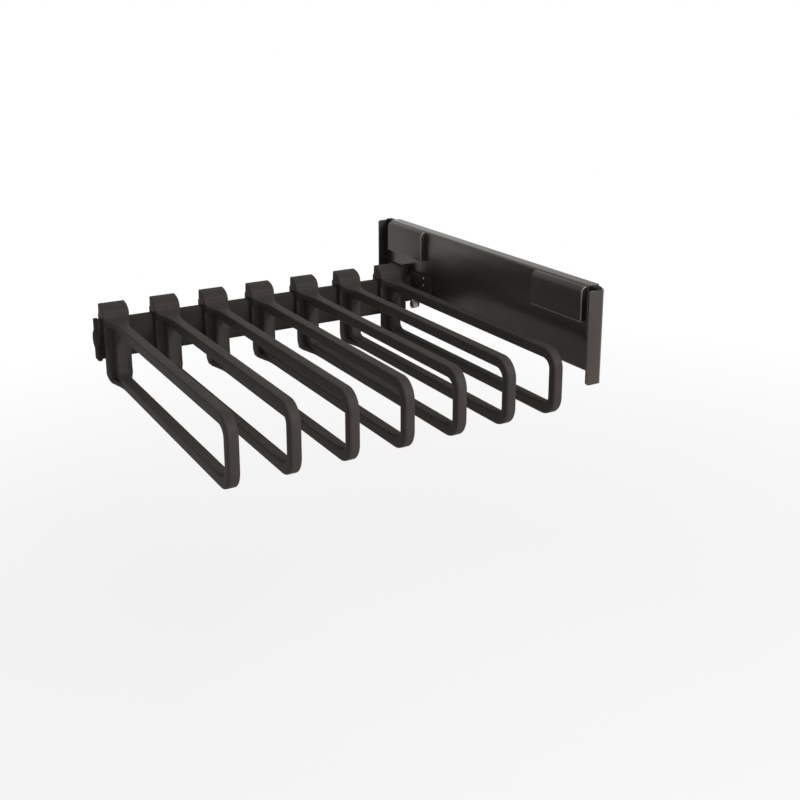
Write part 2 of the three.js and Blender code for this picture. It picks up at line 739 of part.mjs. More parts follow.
// The web on the bar's outer half, which widens from the bar's width to the leg's. Its outer edges
// lose the bar's chamfer on the way. side is 1 on the top bar and -1 on the bottom bar.
function flaredWeb(side) {
  const outerZ = side > 0 ? barTopRise : loopBottomZ;
  const rings = Array.from({ length: flareSteps + 1 }, (_, step) => {
    const share = step / flareSteps;
    const y = legFrontY - flareLength * (1 - share) + (step === flareSteps ? legThickness / 2 : 0);
    const halfWidth = flareHalfWidth(share);
    const chamfer = barChamfer * (1 - share) + seatGap * share;
    return [
      [halfWidth, y, outerZ - side * legThickness],
      [halfWidth, y, outerZ - side * chamfer],
      [halfWidth - chamfer, y, outerZ],
      [chamfer - halfWidth, y, outerZ],
      [-halfWidth, y, outerZ - side * chamfer],
      [-halfWidth, y, outerZ - side * legThickness],
    ];
  });
  return skinned(side > 0 ? rings.reverse() : rings, false);
}

// Head, leg and hook in (y, z): a rounded head over the rail, a hollow curve down to the top bar,
// the leg in front of the rail and the short hook behind it
function headOutline() {
  const topZ = headRise + seatGap;
  const roundZ = topZ - headRoundDrop;
  const innerTopZ = barTopRise - legThickness;
  const innerBottomZ = loopBottomZ + legThickness;
  const filletY = legFrontY - headFillet;
  const shape = new THREE.Shape();
  shape.moveTo(hookBackY, -hookDrop);
  shape.lineTo(hookBackY, topZ);
  shape.absellipse(
    legFrontY + headRoundDepth, roundZ, headRoundDepth, headRoundDrop, Math.PI / 2, Math.PI, false, 0);
  shape.absellipse(filletY, roundZ, headFillet, roundZ - barTopRise, 2 * Math.PI, 1.5 * Math.PI, true, 0);
  shape.lineTo(filletY, innerTopZ);
  shape.absarc(legFrontY - legFillet, innerTopZ - legFillet, legFillet, Math.PI / 2, 0, true);
  shape.absarc(legFrontY - legFillet, innerBottomZ + legFillet, legFillet, 0, -Math.PI / 2, true);
  shape.lineTo(filletY, innerBottomZ);
  shape.lineTo(filletY, loopBottomZ);
  shape.lineTo(legBackY, loopBottomZ);
  shape.lineTo(legBackY, seatGap);
  shape.lineTo(-legBackY, seatGap);
  shape.lineTo(-legBackY, -hookDrop);
  shape.closePath();
  return shape;
}

// Plan of the head and its flanks in (x, y)
function headPlan() {
  const flank = Array.from({ length: flareSteps + 1 }, (_, step) => {
    const share = 1 - step / flareSteps;
    return [flareHalfWidth(share), legFrontY - flareLength * (1 - share)];
  });
  const right = [[legWidth / 2, hookBackY + overrun], ...flank];
  const left = right.map(([x, y]) => [-x, y]).reverse();
  return polygon([...right, ...left]);
}

// Hanger 1 is at the rail's far end, next to its end cap
function hangerPlaces() {
  const nearX = railNearX - nearHangerOffset;
  return Array.from({ length: hangerCount }, (_, index) => [
    nearX - (hangerCount - 1 - index) * hangerPitch, railY, railTopZ]);
}

function hanger() {
  const half = legWidth / 2;
  const topZ = headRise + seatGap;
  const side = alongX(headOutline(), -half, half, 5);
  const plan = alongZ(headPlan(), loopBottomZ - overrun, topZ + overrun);
  const foot = roundedRectangle(-half, half, loopBottomZ, topZ + legCorner, legCorner);
  const roundedFoot = alongY(foot, loopFrontY, hookBackY + overrun);
  const head = common(common(side, plan), roundedFoot);
  return joined(hangerLoop(), head, flaredWeb(1), flaredWeb(-1));
}

// The assembly

const rack = new THREE.Group();

function add(name, geometry, look) {
  const mesh = new THREE.Mesh(geometry, new THREE.MeshStandardMaterial(look));
  mesh.name = name;
  rack.add(mesh);
  return mesh;
}

// Numbered copies of one piece, each in its own place
function addCopies(name, geometry, places, look) {
  places.forEach((place, index) => {
    add(`${name}_${index + 1}`, geometry.clone(), look).position.set(...place);
  });
}

const outerBallZ = cabinetTrackZ - trackGap / 2;
const innerBallZ = middleTrackZ - trackGap / 2;

add('cabinet_member', cabinetMember(), galvanised);
add('closing_bumper', closingBumper(), softRubber);
add('outer_cage_upper', cageStrip(outerBallX, outerBallZ), cagePlastic);
add('outer_cage_lower', cageStrip(outerBallX, -outerBallZ), cagePlastic);
addCopies('outer_ball', ball(), ballPlaces(outerBallX, outerBallZ), ballSteel);
add('middle_member', middleMember(), galvanised);
add('inner_cage_upper', cageStrip(innerBallX, innerBallZ), cagePlastic);
add('inner_cage_lower', cageStrip(innerBallX, -innerBallZ), cagePlastic);
addCopies('inner_ball', ball(), ballPlaces(innerBallX, innerBallZ), ballSteel);
add('drawer_member', drawerMember(), galvanised);
addCopies('weld_nut', weldNut(), coverScrewPlaces(), galvanised);
addCopies('cover_screw', coverScrew(), coverScrewPlaces(), galvanised);
add('cover_panel', coverPanel(), coatedSteel);
add('front_end_block', endBlock(), moulded);
add('rear_end_block', cut(mirroredInY(endBlock()), runnerNotch()), moulded);
add('front_handle_strip', handleStrip(), coatedSteel);
add('rear_handle_strip', cut(mirroredInY(handleStrip()), runnerNotch()), coatedSteel);
add('front_snap_cap', snapCap(-capMiddleY()), moulded);
add('rear_snap_cap', snapCap(capMiddleY()), moulded);
add('rail_bracket', railBracket(), moulded);
addCopies('bracket_screw', bracketScrew(), bracketScrewPlaces(), zinc);
add('adjusting_screw', adjustingScrew(), zinc);
add('cross_rail', crossRail(), coatedSteel);
addCopies('rail_screw', railScrew(), railScrewXs().map((x) => [x, 0, 0]), zinc);
add('rail_end_cap', railEndCap(), moulded);

addCopies('hanger', hanger(), hangerPlaces(), hangerPlastic);

export default rack;
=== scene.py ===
import math

import bpy
import numpy as np
from mathutils import Euler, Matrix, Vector
from mathutils.geometry import delaunay_2d_cdt


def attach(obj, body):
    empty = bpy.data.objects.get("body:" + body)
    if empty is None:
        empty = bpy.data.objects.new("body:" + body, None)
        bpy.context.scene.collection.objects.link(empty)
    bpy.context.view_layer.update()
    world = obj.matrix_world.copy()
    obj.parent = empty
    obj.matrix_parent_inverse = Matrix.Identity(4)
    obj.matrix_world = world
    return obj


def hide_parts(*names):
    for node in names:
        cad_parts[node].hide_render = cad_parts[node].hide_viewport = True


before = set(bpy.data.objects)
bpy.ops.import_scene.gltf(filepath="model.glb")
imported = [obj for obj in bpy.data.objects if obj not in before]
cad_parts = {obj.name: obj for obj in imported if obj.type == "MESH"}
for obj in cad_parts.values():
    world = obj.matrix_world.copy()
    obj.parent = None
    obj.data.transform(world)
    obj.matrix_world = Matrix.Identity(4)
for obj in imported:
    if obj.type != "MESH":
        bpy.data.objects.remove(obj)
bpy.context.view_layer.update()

# Cabinet member: the outer channel of the ball runner, roll-formed from 1.2 mm galvanised strip.
# Its flanges end in lips that keep the balls in their track, and its web has four holes for the
# screws that hold the rack up. Every piece is given in millimetres, and its mesh is made in metres.
MILLIMETRE = 0.001
RUNNER_FRONT, RUNNER_REAR = -200.0, 200.0
MEMBER_SHEET, MEMBER_BEND, MEMBER_INNER_BEND = 1.2, 1.6, 0.4
MEMBER_LIP, LIP_ROUND, MEMBER_RIM = 1.0, 0.3, 0.2
CABINET_DEPTH, CABINET_HALF = 10.0, 22.5
WALL_HOLE, WALL_HOLES, WALL_CUT = 6.5, (-160.0, -96.0, 96.0, 160.0), (-5.0, 5.0)
CRISP = math.radians(32)
# Distance under which two points are one
TOUCHING = 1e-6
# Where an outline's two numbers and its height go, for a shape carried along each axis
AXES = {"X": (1, 2, 0), "Y": (0, 2, 1), "Z": (0, 1, 2)}
# Values of the noise between which a shade or a roughness changes
SHADE_STOPS, GRAIN_STOPS = (0.3, 0.7), (0.25, 0.75)
# Agreement of true and eased normal between which the edges' wear and painted highlight set in, and that
# colour's largest share
WEAR_AND_HIGHLIGHT_STOPS, WEAR_AND_HIGHLIGHT_SHARE = (0.97, 0.75), 0.6
# The colour sockets of a Mix node: the two that go in and the one that comes out
MIX_FIRST, MIX_SECOND, MIXED = 6, 7, 2


def rounded(corners, radius, steps=6):
    """Closed outline through the corners. A corner that turns by t is replaced by an arc of radius r
    that starts r * tan(t / 2) before it; the arc's points are even shares of the turn. Points that
    fall together become one."""
    corners = np.asarray(corners, float)
    radius = np.broadcast_to(np.asarray(radius, float), len(corners))
    into = corners - np.roll(corners, 1, axis=0)
    into /= np.linalg.norm(into, axis=1, keepdims=True)
    out = np.roll(into, -1, axis=0)
    side = np.stack([-into[:, 1], into[:, 0]], axis=1)
    turn = np.arctan2((side * out).sum(1), (into * out).sum(1))
    start = corners - into * (radius * np.tan(np.abs(turn) / 2))[:, None]
    angle = (np.abs(turn)[:, None] * np.linspace(0, 1, steps + 1))[..., None]
    swing = side * np.sign(turn)[:, None]
    arc = radius[:, None, None] * (np.sin(angle) * into[:, None] + (1 - np.cos(angle)) * swing[:, None])
    points = (start[:, None] + arc).reshape(-1, 2)
    apart = np.linalg.norm(points - np.roll(points, 1, axis=0), axis=1) > TOUCHING
    return points[apart]


def inward(outline):
    """For each point, the step that moves it 1 into the outline from both of its sides: the sum of
    the two sides' inward normals over 1 plus their product."""
    along = np.roll(outline, -1, axis=0) - outline
    along /= np.linalg.norm(along, axis=1, keepdims=True)
    ahead = np.stack([-along[:, 1], along[:, 0]], axis=1)
    behind = np.roll(ahead, 1, axis=0)
    step = (ahead + behind) / (1 + (ahead * behind).sum(1))[:, None]
    x, y = outline.T
    area = (x * np.roll(y, -1) - y * np.roll(x, -1)).sum()
    return step * np.sign(area)


def side_faces(rings, points, looped=False):
    """Quads between each ring of points and the next. Point j of ring i has number i * points + j."""
    ring = np.arange(rings if looped else rings - 1)[:, None]
    here = np.arange(points)[None, :]
    there = (here + 1) % points
    after = (ring + 1) % rings
    quads = [ring * points + here, ring * points + there, after * points + there, after * points + here]
    return np.stack(quads, axis=-1).reshape(-1, 4).tolist()


def closed_ends(rings, points):
    """One face over the first ring and one over the last."""
    last = (rings - 1) * points
    return [list(range(points))[::-1], list(range(last, last + points))]


def crisp_edges(mesh):
    """Smooth shading, broken where two faces meet at more than 32 degrees."""
    mesh.shade_smooth()
    mesh.set_sharp_from_angle(angle=CRISP)


def solid(name, points, faces):
    """An object from points in millimetres. If its signed volume is negative, its faces are turned
    over, so that they face outward."""
    mesh = bpy.data.meshes.new(name)
    mesh.from_pydata((np.asarray(points, float).reshape(-1, 3) * MILLIMETRE).tolist(), [], faces)
    mesh.update()
    mesh.calc_loop_triangles()
    corner = np.empty(len(mesh.loop_triangles) * 3, int)
    mesh.loop_triangles.foreach_get("vertices", corner)
    place = np.empty(len(mesh.vertices) * 3)
    mesh.vertices.foreach_get("co", place)
    a, b, c = place.reshape(-1, 3)[corner.reshape(-1, 3)].transpose(1, 0, 2)
    if np.einsum("ij,ij->i", a, np.cross(b, c)).sum() < 0:
        mesh.flip_normals()
    crisp_edges(mesh)
    piece = bpy.data.objects.new(name, mesh)
    bpy.context.scene.collection.objects.link(piece)
    return piece


def closed_skin(name, axis, flat, height):
    """A solid from rings of flat points, each ring at its height along the axis. Quads join the
    rings, and one face closes each end."""
    first, second, third = AXES[axis]
    points = np.empty(flat.shape[:2] + (3,))
    points[..., first] = flat[..., 0]
    points[..., second] = flat[..., 1]
    points[..., third] = height[:, None]
    rings, count = flat.shape[:2]
    return solid(name, points, side_faces(rings, count) + closed_ends(rings, count))


def prism(name, axis, outline, low, high, rim=0.0, rim_steps=3):
    """The outline carried along an axis from low to high. Both rims are rounded: at angle a the ring
    stands rim * (1 - sin a) from the end and is drawn in by rim * (1 - cos a). No rim is larger than
    the radius of a rounded outer corner, or the end faces would cross themselves."""
    angle = np.linspace(math.pi / 2, 0, rim_steps + 1) if rim else np.zeros(1)
    drawn = rim * (1 - np.cos(angle))
    off = rim * (1 - np.sin(angle))
    inset = np.concatenate([drawn, drawn[::-1]])
    height = np.concatenate([low + off, (high - off)[::-1]])
    return closed_skin(name, axis, outline[None] + inset[:, None, None] * inward(outline)[None], height)


def bar(name, axis, centre, diameter, low, high, sides=32, rim=0.0):
    """A round bar: a prism over a circle. A bar with six sides has a corner on its second axis."""
    angle = np.arange(sides) * 2 * math.pi / sides + math.pi / 2
    circle = np.stack([np.cos(angle), np.sin(angle)], axis=1) * diameter / 2 + np.asarray(centre)
    return prism(name, axis, circle, low, high, rim)


def worked(piece, operation, *tools):
    """The piece cut by, joined with or kept inside the tools, which are used up."""
    for tool in tools:
        step = piece.modifiers.new("work", "BOOLEAN")
        step.operation = operation
        step.solver = "MANIFOLD"
        step.object = tool
    bpy.context.view_layer.update()
    made = bpy.data.meshes.new_from_object(
        piece.evaluated_get(bpy.context.evaluated_depsgraph_get()))
    piece.modifiers.clear()
    old = piece.data
    piece.data = made
    bpy.data.meshes.remove(old)
    made.name = piece.name
    crisp_edges(made)
    for tool in tools:
        bpy.data.meshes.remove(tool.data)
    return piece


def placed(piece, body, slot, surface, *nodes):
    """The finished piece takes its surface, rides on its body and stands for its CAD nodes."""
    piece.data.materials.clear()
    piece.data.materials.append(surface)
    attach(piece, body)
    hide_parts(*nodes)
    return piece


def noise(nodes, links, place, size, detail):
    """Noise whose blots are about as large as the size, in millimetres."""
    blots = nodes.new("ShaderNodeTexNoise")
    blots.inputs["Scale"].default_value = 1 / (size * MILLIMETRE)
    blots.inputs["Detail"].default_value = detail
    links.new(place, blots.inputs["Vector"])
    return blots.outputs["Fac"]


def ranged(nodes, links, value, stops, low, high):
    """Low where the value is at the first stop, high where it is at the second, even between them
    and level beyond them."""
    step = nodes.new("ShaderNodeMapRange")
    for label, number in zip(("From Min", "From Max", "To Min", "To Max"), (*stops, low, high)):
        step.inputs[label].default_value = number
    links.new(value, step.inputs["Value"])
    return step.outputs["Result"]


def surface_finish(name, shades, roughness, patch, grain, relief, metallic=0.0, stretch=(1, 1, 1),
                   spread=0.1, edge_wear_and_highlight=None, speculars=0.5, tint=(1, 1, 1)):
    """A surface that drifts between two shades over patches of the given size. A fine grain lifts it
    by the relief and moves its roughness by the spread to each side. Sizes are millimetres, and a
    stretch below 1 draws the pattern out along that axis. Where a colour and a width are given, the
    edges take on some of it: wear and a painted highlight together. The tint colours the gloss."""
    surface = bpy.data.materials.new(name)
    surface.use_nodes = True
    nodes, links = surface.node_tree.nodes, surface.node_tree.links
    shader = nodes["Principled BSDF"]
    shader.inputs["Metallic"].default_value = metallic
    shader.inputs["Specular IOR Level"].default_value = speculars
    shader.inputs["Specular Tint"].default_value = (*tint, 1)
    place = nodes.new("ShaderNodeTexCoord")
    drawn_out = nodes.new("ShaderNodeMapping")
    drawn_out.inputs["Scale"].default_value = stretch
    links.new(place.outputs["Object"], drawn_out.inputs["Vector"])
    drift = noise(nodes, links, drawn_out.outputs["Vector"], patch, detail=3)
    fine = noise(nodes, links, drawn_out.outputs["Vector"], grain, detail=2)
    shade = nodes.new("ShaderNodeValToRGB")
    for stop, position, colour in zip(shade.color_ramp.elements, SHADE_STOPS, shades):
        stop.position = position
        stop.color = (*colour, 1)
    links.new(drift, shade.inputs["Fac"])
    links.new(ranged(nodes, links, fine, GRAIN_STOPS, roughness - spread, roughness + spread),
              shader.inputs["Roughness"])
    bump = nodes.new("ShaderNodeBump")
    bump.inputs["Strength"].default_value = 1
    bump.inputs["Distance"].default_value = relief * MILLIMETRE
    links.new(fine, bump.inputs["Height"])
    links.new(bump.outputs["Normal"], shader.inputs["Normal"])
    base = shade.outputs["Color"]
    # The edges' lighter colour is wear and a painted highlight together
    if edge_wear_and_highlight:
        wear_and_highlight_colour, wear_and_highlight_width = edge_wear_and_highlight
        eased = nodes.new("ShaderNodeBevel")
        eased.samples = 4
        eased.inputs["Radius"].default_value = wear_and_highlight_width * MILLIMETRE
        true = nodes.new("ShaderNodeNewGeometry")
        agree = nodes.new("ShaderNodeVectorMath")
        agree.operation = "DOT_PRODUCT"
        links.new(eased.outputs["Normal"], agree.inputs[0])
        links.new(true.outputs["Normal"], agree.inputs[1])
        wear_and_highlight_mix = nodes.new("ShaderNodeMix")
        wear_and_highlight_mix.data_type = "RGBA"
        wear_and_highlight_mix.inputs[MIX_SECOND].default_value = (*wear_and_highlight_colour, 1)
        links.new(ranged(nodes, links, agree.outputs["Value"], WEAR_AND_HIGHLIGHT_STOPS, 0, WEAR_AND_HIGHLIGHT_SHARE),
                  wear_and_highlight_mix.inputs["Factor"])
        links.new(base, wear_and_highlight_mix.inputs[MIX_FIRST])
        base = wear_and_highlight_mix.outputs[MIXED]
    links.new(base, shader.inputs["Base Color"])
    return surface


def member(name, web, edge, half, lip, rear):
    """A runner member: a channel carried from the runner's front end to the rear. In (X, Z) its web
    is at one side, flanges run to the edge, and each may end in a lip that is turned in. Outer
    corners have the bend's radius, inner corners the smaller one, and free edges the lip's."""
    sheet = math.copysign(MEMBER_SHEET, edge - web)
    inside = half - MEMBER_SHEET
    if lip:
        end = [(edge - sheet, inside, MEMBER_INNER_BEND), (edge - sheet, inside - lip, LIP_ROUND),
               (edge, inside - lip, LIP_ROUND), (edge, half, MEMBER_BEND)]
    else:
        end = [(edge, inside, LIP_ROUND), (edge, half, LIP_ROUND)]
    upper = [(web + sheet, inside, MEMBER_INNER_BEND)] + end + [(web, half, MEMBER_BEND)]
    corners = np.array(upper + [(x, -z, r) for x, z, r in upper[::-1]])
    outline = rounded(corners[:, :2], corners[:, 2], steps=5)
    return prism(name, "Y", outline, RUNNER_FRONT, rear, MEMBER_RIM, rim_steps=2)


galvanised_strip = surface_finish(
    "galvanised strip", ((0.36, 0.37, 0.38), (0.5, 0.51, 0.52)), 0.34, 9, 0.9, 0.006,
    metallic=0.95, stretch=(1, 0.12, 1), spread=0.08)
cabinet_member = worked(
    member("cabinet_member_strip", 0, -CABINET_DEPTH, CABINET_HALF, MEMBER_LIP, RUNNER_REAR),
    "DIFFERENCE", *[bar("hole", "X", (y, 0), WALL_HOLE, *WALL_CUT) for y in WALL_HOLES])
placed(cabinet_member, "cabinet", "galvanised_steel", galvanised_strip, "cabinet_member")

# Closing bumper: a soft rubber block pressed into the rear end of the cabinet member, where the
# sliding members come to rest. It is moulded with rounded edges.
BUMPER_LOW, BUMPER_HIGH = (-9.5, 194, -16), (-1.5, 200, 16)
BUMPER_RIM, BUMPER_CORNER = 0.9, 1.2


def block(name, low, high, rim=0.0, corner=0.0):
    """A rectangular block between two corners, with its upright edges rounded by corner."""
    outline = [(low[0], low[1]), (high[0], low[1]), (high[0], high[1]), (low[0], high[1])]
    return prism(name, "Z", rounded(outline, corner, steps=4), low[2], high[2], rim)


soft_rubber = surface_finish(
    "soft rubber", ((0.012, 0.012, 0.014), (0.022, 0.022, 0.024)), 0.85, 5, 0.25, 0.02)
bumper = block("rubber_bumper", BUMPER_LOW, BUMPER_HIGH, BUMPER_RIM, BUMPER_CORNER)
placed(bumper, "cabinet", "soft_rubber", soft_rubber, "closing_bumper")

# Outer ball cages: a nylon strip above and one below, between the cabinet member and the middle
# member, with four hardened steel balls in the round pockets of each.
CAGE_MIDDLE, CAGE_HALF, CAGE_WIDTH, CAGE_SHEET = -3.15, 100.0, 4.6, 0.8
CAGE_RIM, CAGE_CORNER = 0.15, 0.8
BALL, POCKET, POCKET_CUT = 3.0, 3.4, 2.0
BALL_PLACES = CAGE_MIDDLE + np.array([-75.0, -25.0, 25.0, 75.0])
BALL_RINGS, BALL_SIDES, BALL_POLE = 19, 28, 0.04
OUTER_BALL_X, OUTER_BALL_Z = -5.9, 19.7


def ball_row(name, x, z):
    """Balls as turned surfaces: on the meridian at angle a from the bottom the radius is r * sin a
    and the height -r * cos a. The first and last rings are closed by one small face."""
    meridian = np.linspace(BALL_POLE, math.pi - BALL_POLE, BALL_RINGS)[:, None]
    around = np.arange(BALL_SIDES) * 2 * math.pi / BALL_SIDES
    ball = np.stack([np.sin(meridian) * np.cos(around), np.sin(meridian) * np.sin(around),
                     -np.cos(meridian) + 0 * around], axis=-1) * BALL / 2
    centres = np.array([(x, y, side * z) for y in BALL_PLACES for side in (1, -1)])
    skin = side_faces(BALL_RINGS, BALL_SIDES) + closed_ends(BALL_RINGS, BALL_SIDES)
    faces = [[corner + number * BALL_RINGS * BALL_SIDES for corner in face]
             for number in range(len(centres)) for face in skin]
    return solid(name, ball[None] + centres[:, None, None], faces)


def cage_strip(name, x, z):
    """A flat strip with a round pocket for each ball of its row."""
    strip = block(name, (x - CAGE_WIDTH / 2, CAGE_MIDDLE - CAGE_HALF, z - CAGE_SHEET / 2),
                  (x + CAGE_WIDTH / 2, CAGE_MIDDLE + CAGE_HALF, z + CAGE_SHEET / 2),
                  CAGE_RIM, CAGE_CORNER)
    return worked(strip, "DIFFERENCE", *[
        bar("pocket", "Z", (x, y), POCKET, z - POCKET_CUT, z + POCKET_CUT) for y in BALL_PLACES])


def ball_cage(cage, x, z):
    """The upper and lower strip of a cage and the balls of both, which ride on the cage's body."""
    for end, side in (("upper", 1), ("lower", -1)):
        placed(cage_strip("%s_cage_strip_%s" % (cage, end), x, side * z), cage + "_cage",
               "cage_plastic", natural_nylon, "%s_cage_%s" % (cage, end))
    placed(ball_row(cage + "_balls", x, z), cage + "_cage", "ball_steel", bearing_steel,
           *["%s_ball_%d" % (cage, number) for number in range(1, 2 * len(BALL_PLACES) + 1)])


natural_nylon = surface_finish(
    "natural nylon", ((0.62, 0.6, 0.54), (0.7, 0.68, 0.62)), 0.5, 14, 0.3, 0.006)
bearing_steel = surface_finish(
    "bearing steel", ((0.62, 0.63, 0.65), (0.7, 0.71, 0.72)), 0.1, 2, 0.4, 0.0006,
    metallic=1.0, spread=0.04)
ball_cage("outer", OUTER_BALL_X, OUTER_BALL_Z)

# Middle member: a lipped channel of the same galvanised strip that runs between the two ball rows
# and doubles the travel of the runner.
MIDDLE_WEB, MIDDLE_EDGE, MIDDLE_HALF = -3.0, -11.2, 18.1
SLIDING_REAR = 193.7

middle_member = member("middle_member_strip", MIDDLE_WEB, MIDDLE_EDGE, MIDDLE_HALF, MEMBER_LIP,
                       SLIDING_REAR)
placed(middle_member, "runner_middle", "galvanised_steel", galvanised_strip, "middle_member")

# Inner ball cages: the same nylon strips and balls, between the middle member and the drawer
# member. They travel three quarters of the way with it.
INNER_BALL_X, INNER_BALL_Z = -7.75, 15.3

ball_cage("inner", INNER_BALL_X, INNER_BALL_Z)

# Drawer member: the innermost channel, which carries the cover. Its web has four holes for the
# cover's screws, and its flanges have no lips.
DRAWER_WEB, DRAWER_EDGE, DRAWER_HALF, DRAWER_CUT = -12.7, -5.5, 13.7, (-15.0, -9.0)
COVER_SCREW_HOLE, COVER_SCREWS = 4.6, (-168.0, -56.0, 56.0, 168.0)

drawer_member = worked(
    member("drawer_member_strip", DRAWER_WEB, DRAWER_EDGE, DRAWER_HALF, 0, SLIDING_REAR),
    "DIFFERENCE", *[bar("hole", "X", (y, 0), COVER_SCREW_HOLE, *DRAWER_CUT) for y in COVER_SCREWS])
placed(drawer_member, "carriage", "galvanised_steel", galvanised_strip, "drawer_member")

# Weld nuts and cover screws: four hexagon nuts welded inside the cover, and four pan-head machine
# screws with a cross recess, driven into them from inside the drawer member. Zinc-plated steel.
NUT_LOW, NUT_HIGH, NUT_CORNERS, NUT_RIM, NUT_CUT = -14.5, -12.7, 8.0, 0.15, (-15.5, -11.7)
MACHINE_SCREW = dict(face=-10.0, seat=-11.5, tip=-14.2, head=7.0, shank=4.0, pitch=0.7,
                     recess=(-1.0, 3.6, 0.9))
THREAD_DEPTH = 0.3
RINGS_PER_TURN = 8
# Shares of the head's height at which its dome has a ring
DOME = np.array([0.0, 0.06, 0.18, 0.36, 0.6])


def turned_bar(name, axis, centre, places, radii, sides=36):
    """A turned piece: ring i is a circle of radius radii[i] at places[i] along the axis."""
    around = np.arange(sides) * 2 * math.pi / sides
    circle = np.stack([np.cos(around), np.sin(around)], axis=1)
    flat = np.asarray(centre) + np.asarray(radii, float)[:, None, None] * circle
    return closed_skin(name, axis, flat, np.asarray(places, float))


def threaded(name, axis, centre, diameter, pitch, low, high, sides=24):
    """A screw thread. The share s of a pitch is the height over the pitch less the angle over one
    turn, and the radius falls from the crest by 0.3 of the pitch times 1 - |2s - 1|. Over the last
    pitch at each end the crest sinks to the root."""
    rings = max(4, int(abs(high - low) / pitch * RINGS_PER_TURN))
    height = np.linspace(low, high, rings)
    around = np.arange(sides) / sides
    share = (height[:, None] / pitch - around) % 1
    run_out = np.clip(np.minimum(height - low, high - height) / pitch, 0, 1)[:, None]
    radius = diameter / 2 - THREAD_DEPTH * pitch * (1 - np.abs(2 * share - 1)) * run_out
    radius = radius - THREAD_DEPTH * pitch * (1 - run_out)
    circle = np.stack([np.cos(2 * math.pi * around), np.sin(2 * math.pi * around)], axis=1)
    return closed_skin(name, axis, np.asarray(centre) + radius[..., None] * circle, height)


def cross_recess(axis, centre, face, depth, reach, width):
    """Two tapered slots at right angles, cut into a screw's head from its face. Each is 1.05 of its
    size a fifth of the depth outside the face, and 0.55 of it on the floor."""
    slots = []
    for wide, deep in ((width, reach), (reach, width)):
        outline = np.array([(-wide, -deep), (wide, -deep), (wide, deep), (-wide, deep)]) / 2
        rings = np.stack([outline * 1.05, outline * 0.55]) + np.asarray(centre)
        slots.append(closed_skin("slot", axis, rings, np.array([face - 0.2 * depth, face + depth])))
    return slots


def screw(name, axis, centre, face, seat, tip, head, shank, pitch, recess):
    """Domed head from its face to its seat and a threaded shank to the tip. At share s of its height
    the dome's radius is 0.98 of the head's half, times the sum of 0.55 and 0.45 of the square root
    of 1 - (1 - s) squared. The head is full at 0.8 of its height and 0.985 of that at its seat. The
    shank starts halfway up it. The recess has a depth, a reach and a width."""
    rise = seat - face
    curve = np.sqrt(1 - (1 - DOME) ** 2) * 0.45 + 0.55
    places = np.concatenate([face + DOME * rise, [face + 0.8 * rise, seat]])
    radii = np.concatenate([curve * head / 2 * 0.98, [head / 2, head / 2 * 0.985]])
    body = worked(turned_bar(name, axis, centre, places, radii), "UNION",
                  threaded("shank", axis, centre, shank, pitch, *sorted((seat - 0.5 * rise, tip))))
    return worked(body, "DIFFERENCE", *cross_recess(axis, centre, face, *recess))


bright_zinc = surface_finish(
    "bright zinc plate", ((0.42, 0.41, 0.38), (0.58, 0.57, 0.54)), 0.3, 1.6, 0.25, 0.003,
    metallic=0.95, spread=0.1)
for number, y in enumerate(COVER_SCREWS, 1):
    nut = worked(
        bar("nut_%d" % number, "X", (y, 0), NUT_CORNERS, NUT_LOW, NUT_HIGH, sides=6, rim=NUT_RIM),
        "DIFFERENCE", bar("hole", "X", (y, 0), COVER_SCREW_HOLE, *NUT_CUT))
    placed(nut, "carriage", "galvanised_steel", galvanised_strip, "weld_nut_%d" % number)
    held = screw("machine_screw_%d" % number, "X", (y, 0), **MACHINE_SCREW)
    placed(held, "carriage", "galvanised_steel", bright_zinc, "cover_screw_%d" % number)

# Cover panel: 1.5 mm sheet steel bent to a channel that hides the runner and carries everything.
# It is powder-coated in satin anthracite and carries a painted highlight along its cut ends. Slots
# take the tabs of the caps, and four holes the bracket's screws.
COVER_HALF_LENGTH, COVER_HALF_HEIGHT, COVER_INSIDE = 208.5, 48.0, 46.5
COVER_FACE, COVER_BACK, COVER_EDGE, COVER_CUT = -16.0, -14.5, -1.0, (-18.0, -12.5)
COVER_BEND, COVER_INNER_BEND, COVER_TIP, COVER_RIM = 2.5, 1.0, 0.7, 0.6
CAP_MIDDLES, TAB_OFFSETS, TAB_Z = (-162.5, 162.5), (-25.0, 25.0), 27.1
SLOT_HALF, SLOT_BELOW, SLOT_ABOVE = 4.3, 1.2, 2.0
BRACKET_SCREWS = [(y, z) for y in (118.1, 190.9) for z in (-15.6, -24.7)]
BRACKET_HOLE = 3.6
WARM_GLOSS = (1, 0.89, 0.83)
# Faces that take the painted highlight: their reach from an end, and the share of their normal
RIM_REACH, RIM_LEAN = 2, (0.2, 0.97)

# Its edges take a lighter colour: wear and a painted highlight together
powder_coat = surface_finish(
    "anthracite powder coat", ((0.0245, 0.0212, 0.0178), (0.028, 0.0243, 0.0205)), 0.31, 60, 0.7,
    0.006, spread=0.05, edge_wear_and_highlight=((0.13, 0.122, 0.114), 0.8), speculars=0.48, tint=WARM_GLOSS)
# The painted highlight: a much lighter copy of the coat, put on faces at the ends and edges
highlight_coat = surface_finish(
    "painted highlight on powder coat", ((0.13, 0.122, 0.114), (0.17, 0.16, 0.15)), 0.4, 20, 0.7, 0.006,
    spread=0.05, speculars=0.48, tint=WARM_GLOSS)


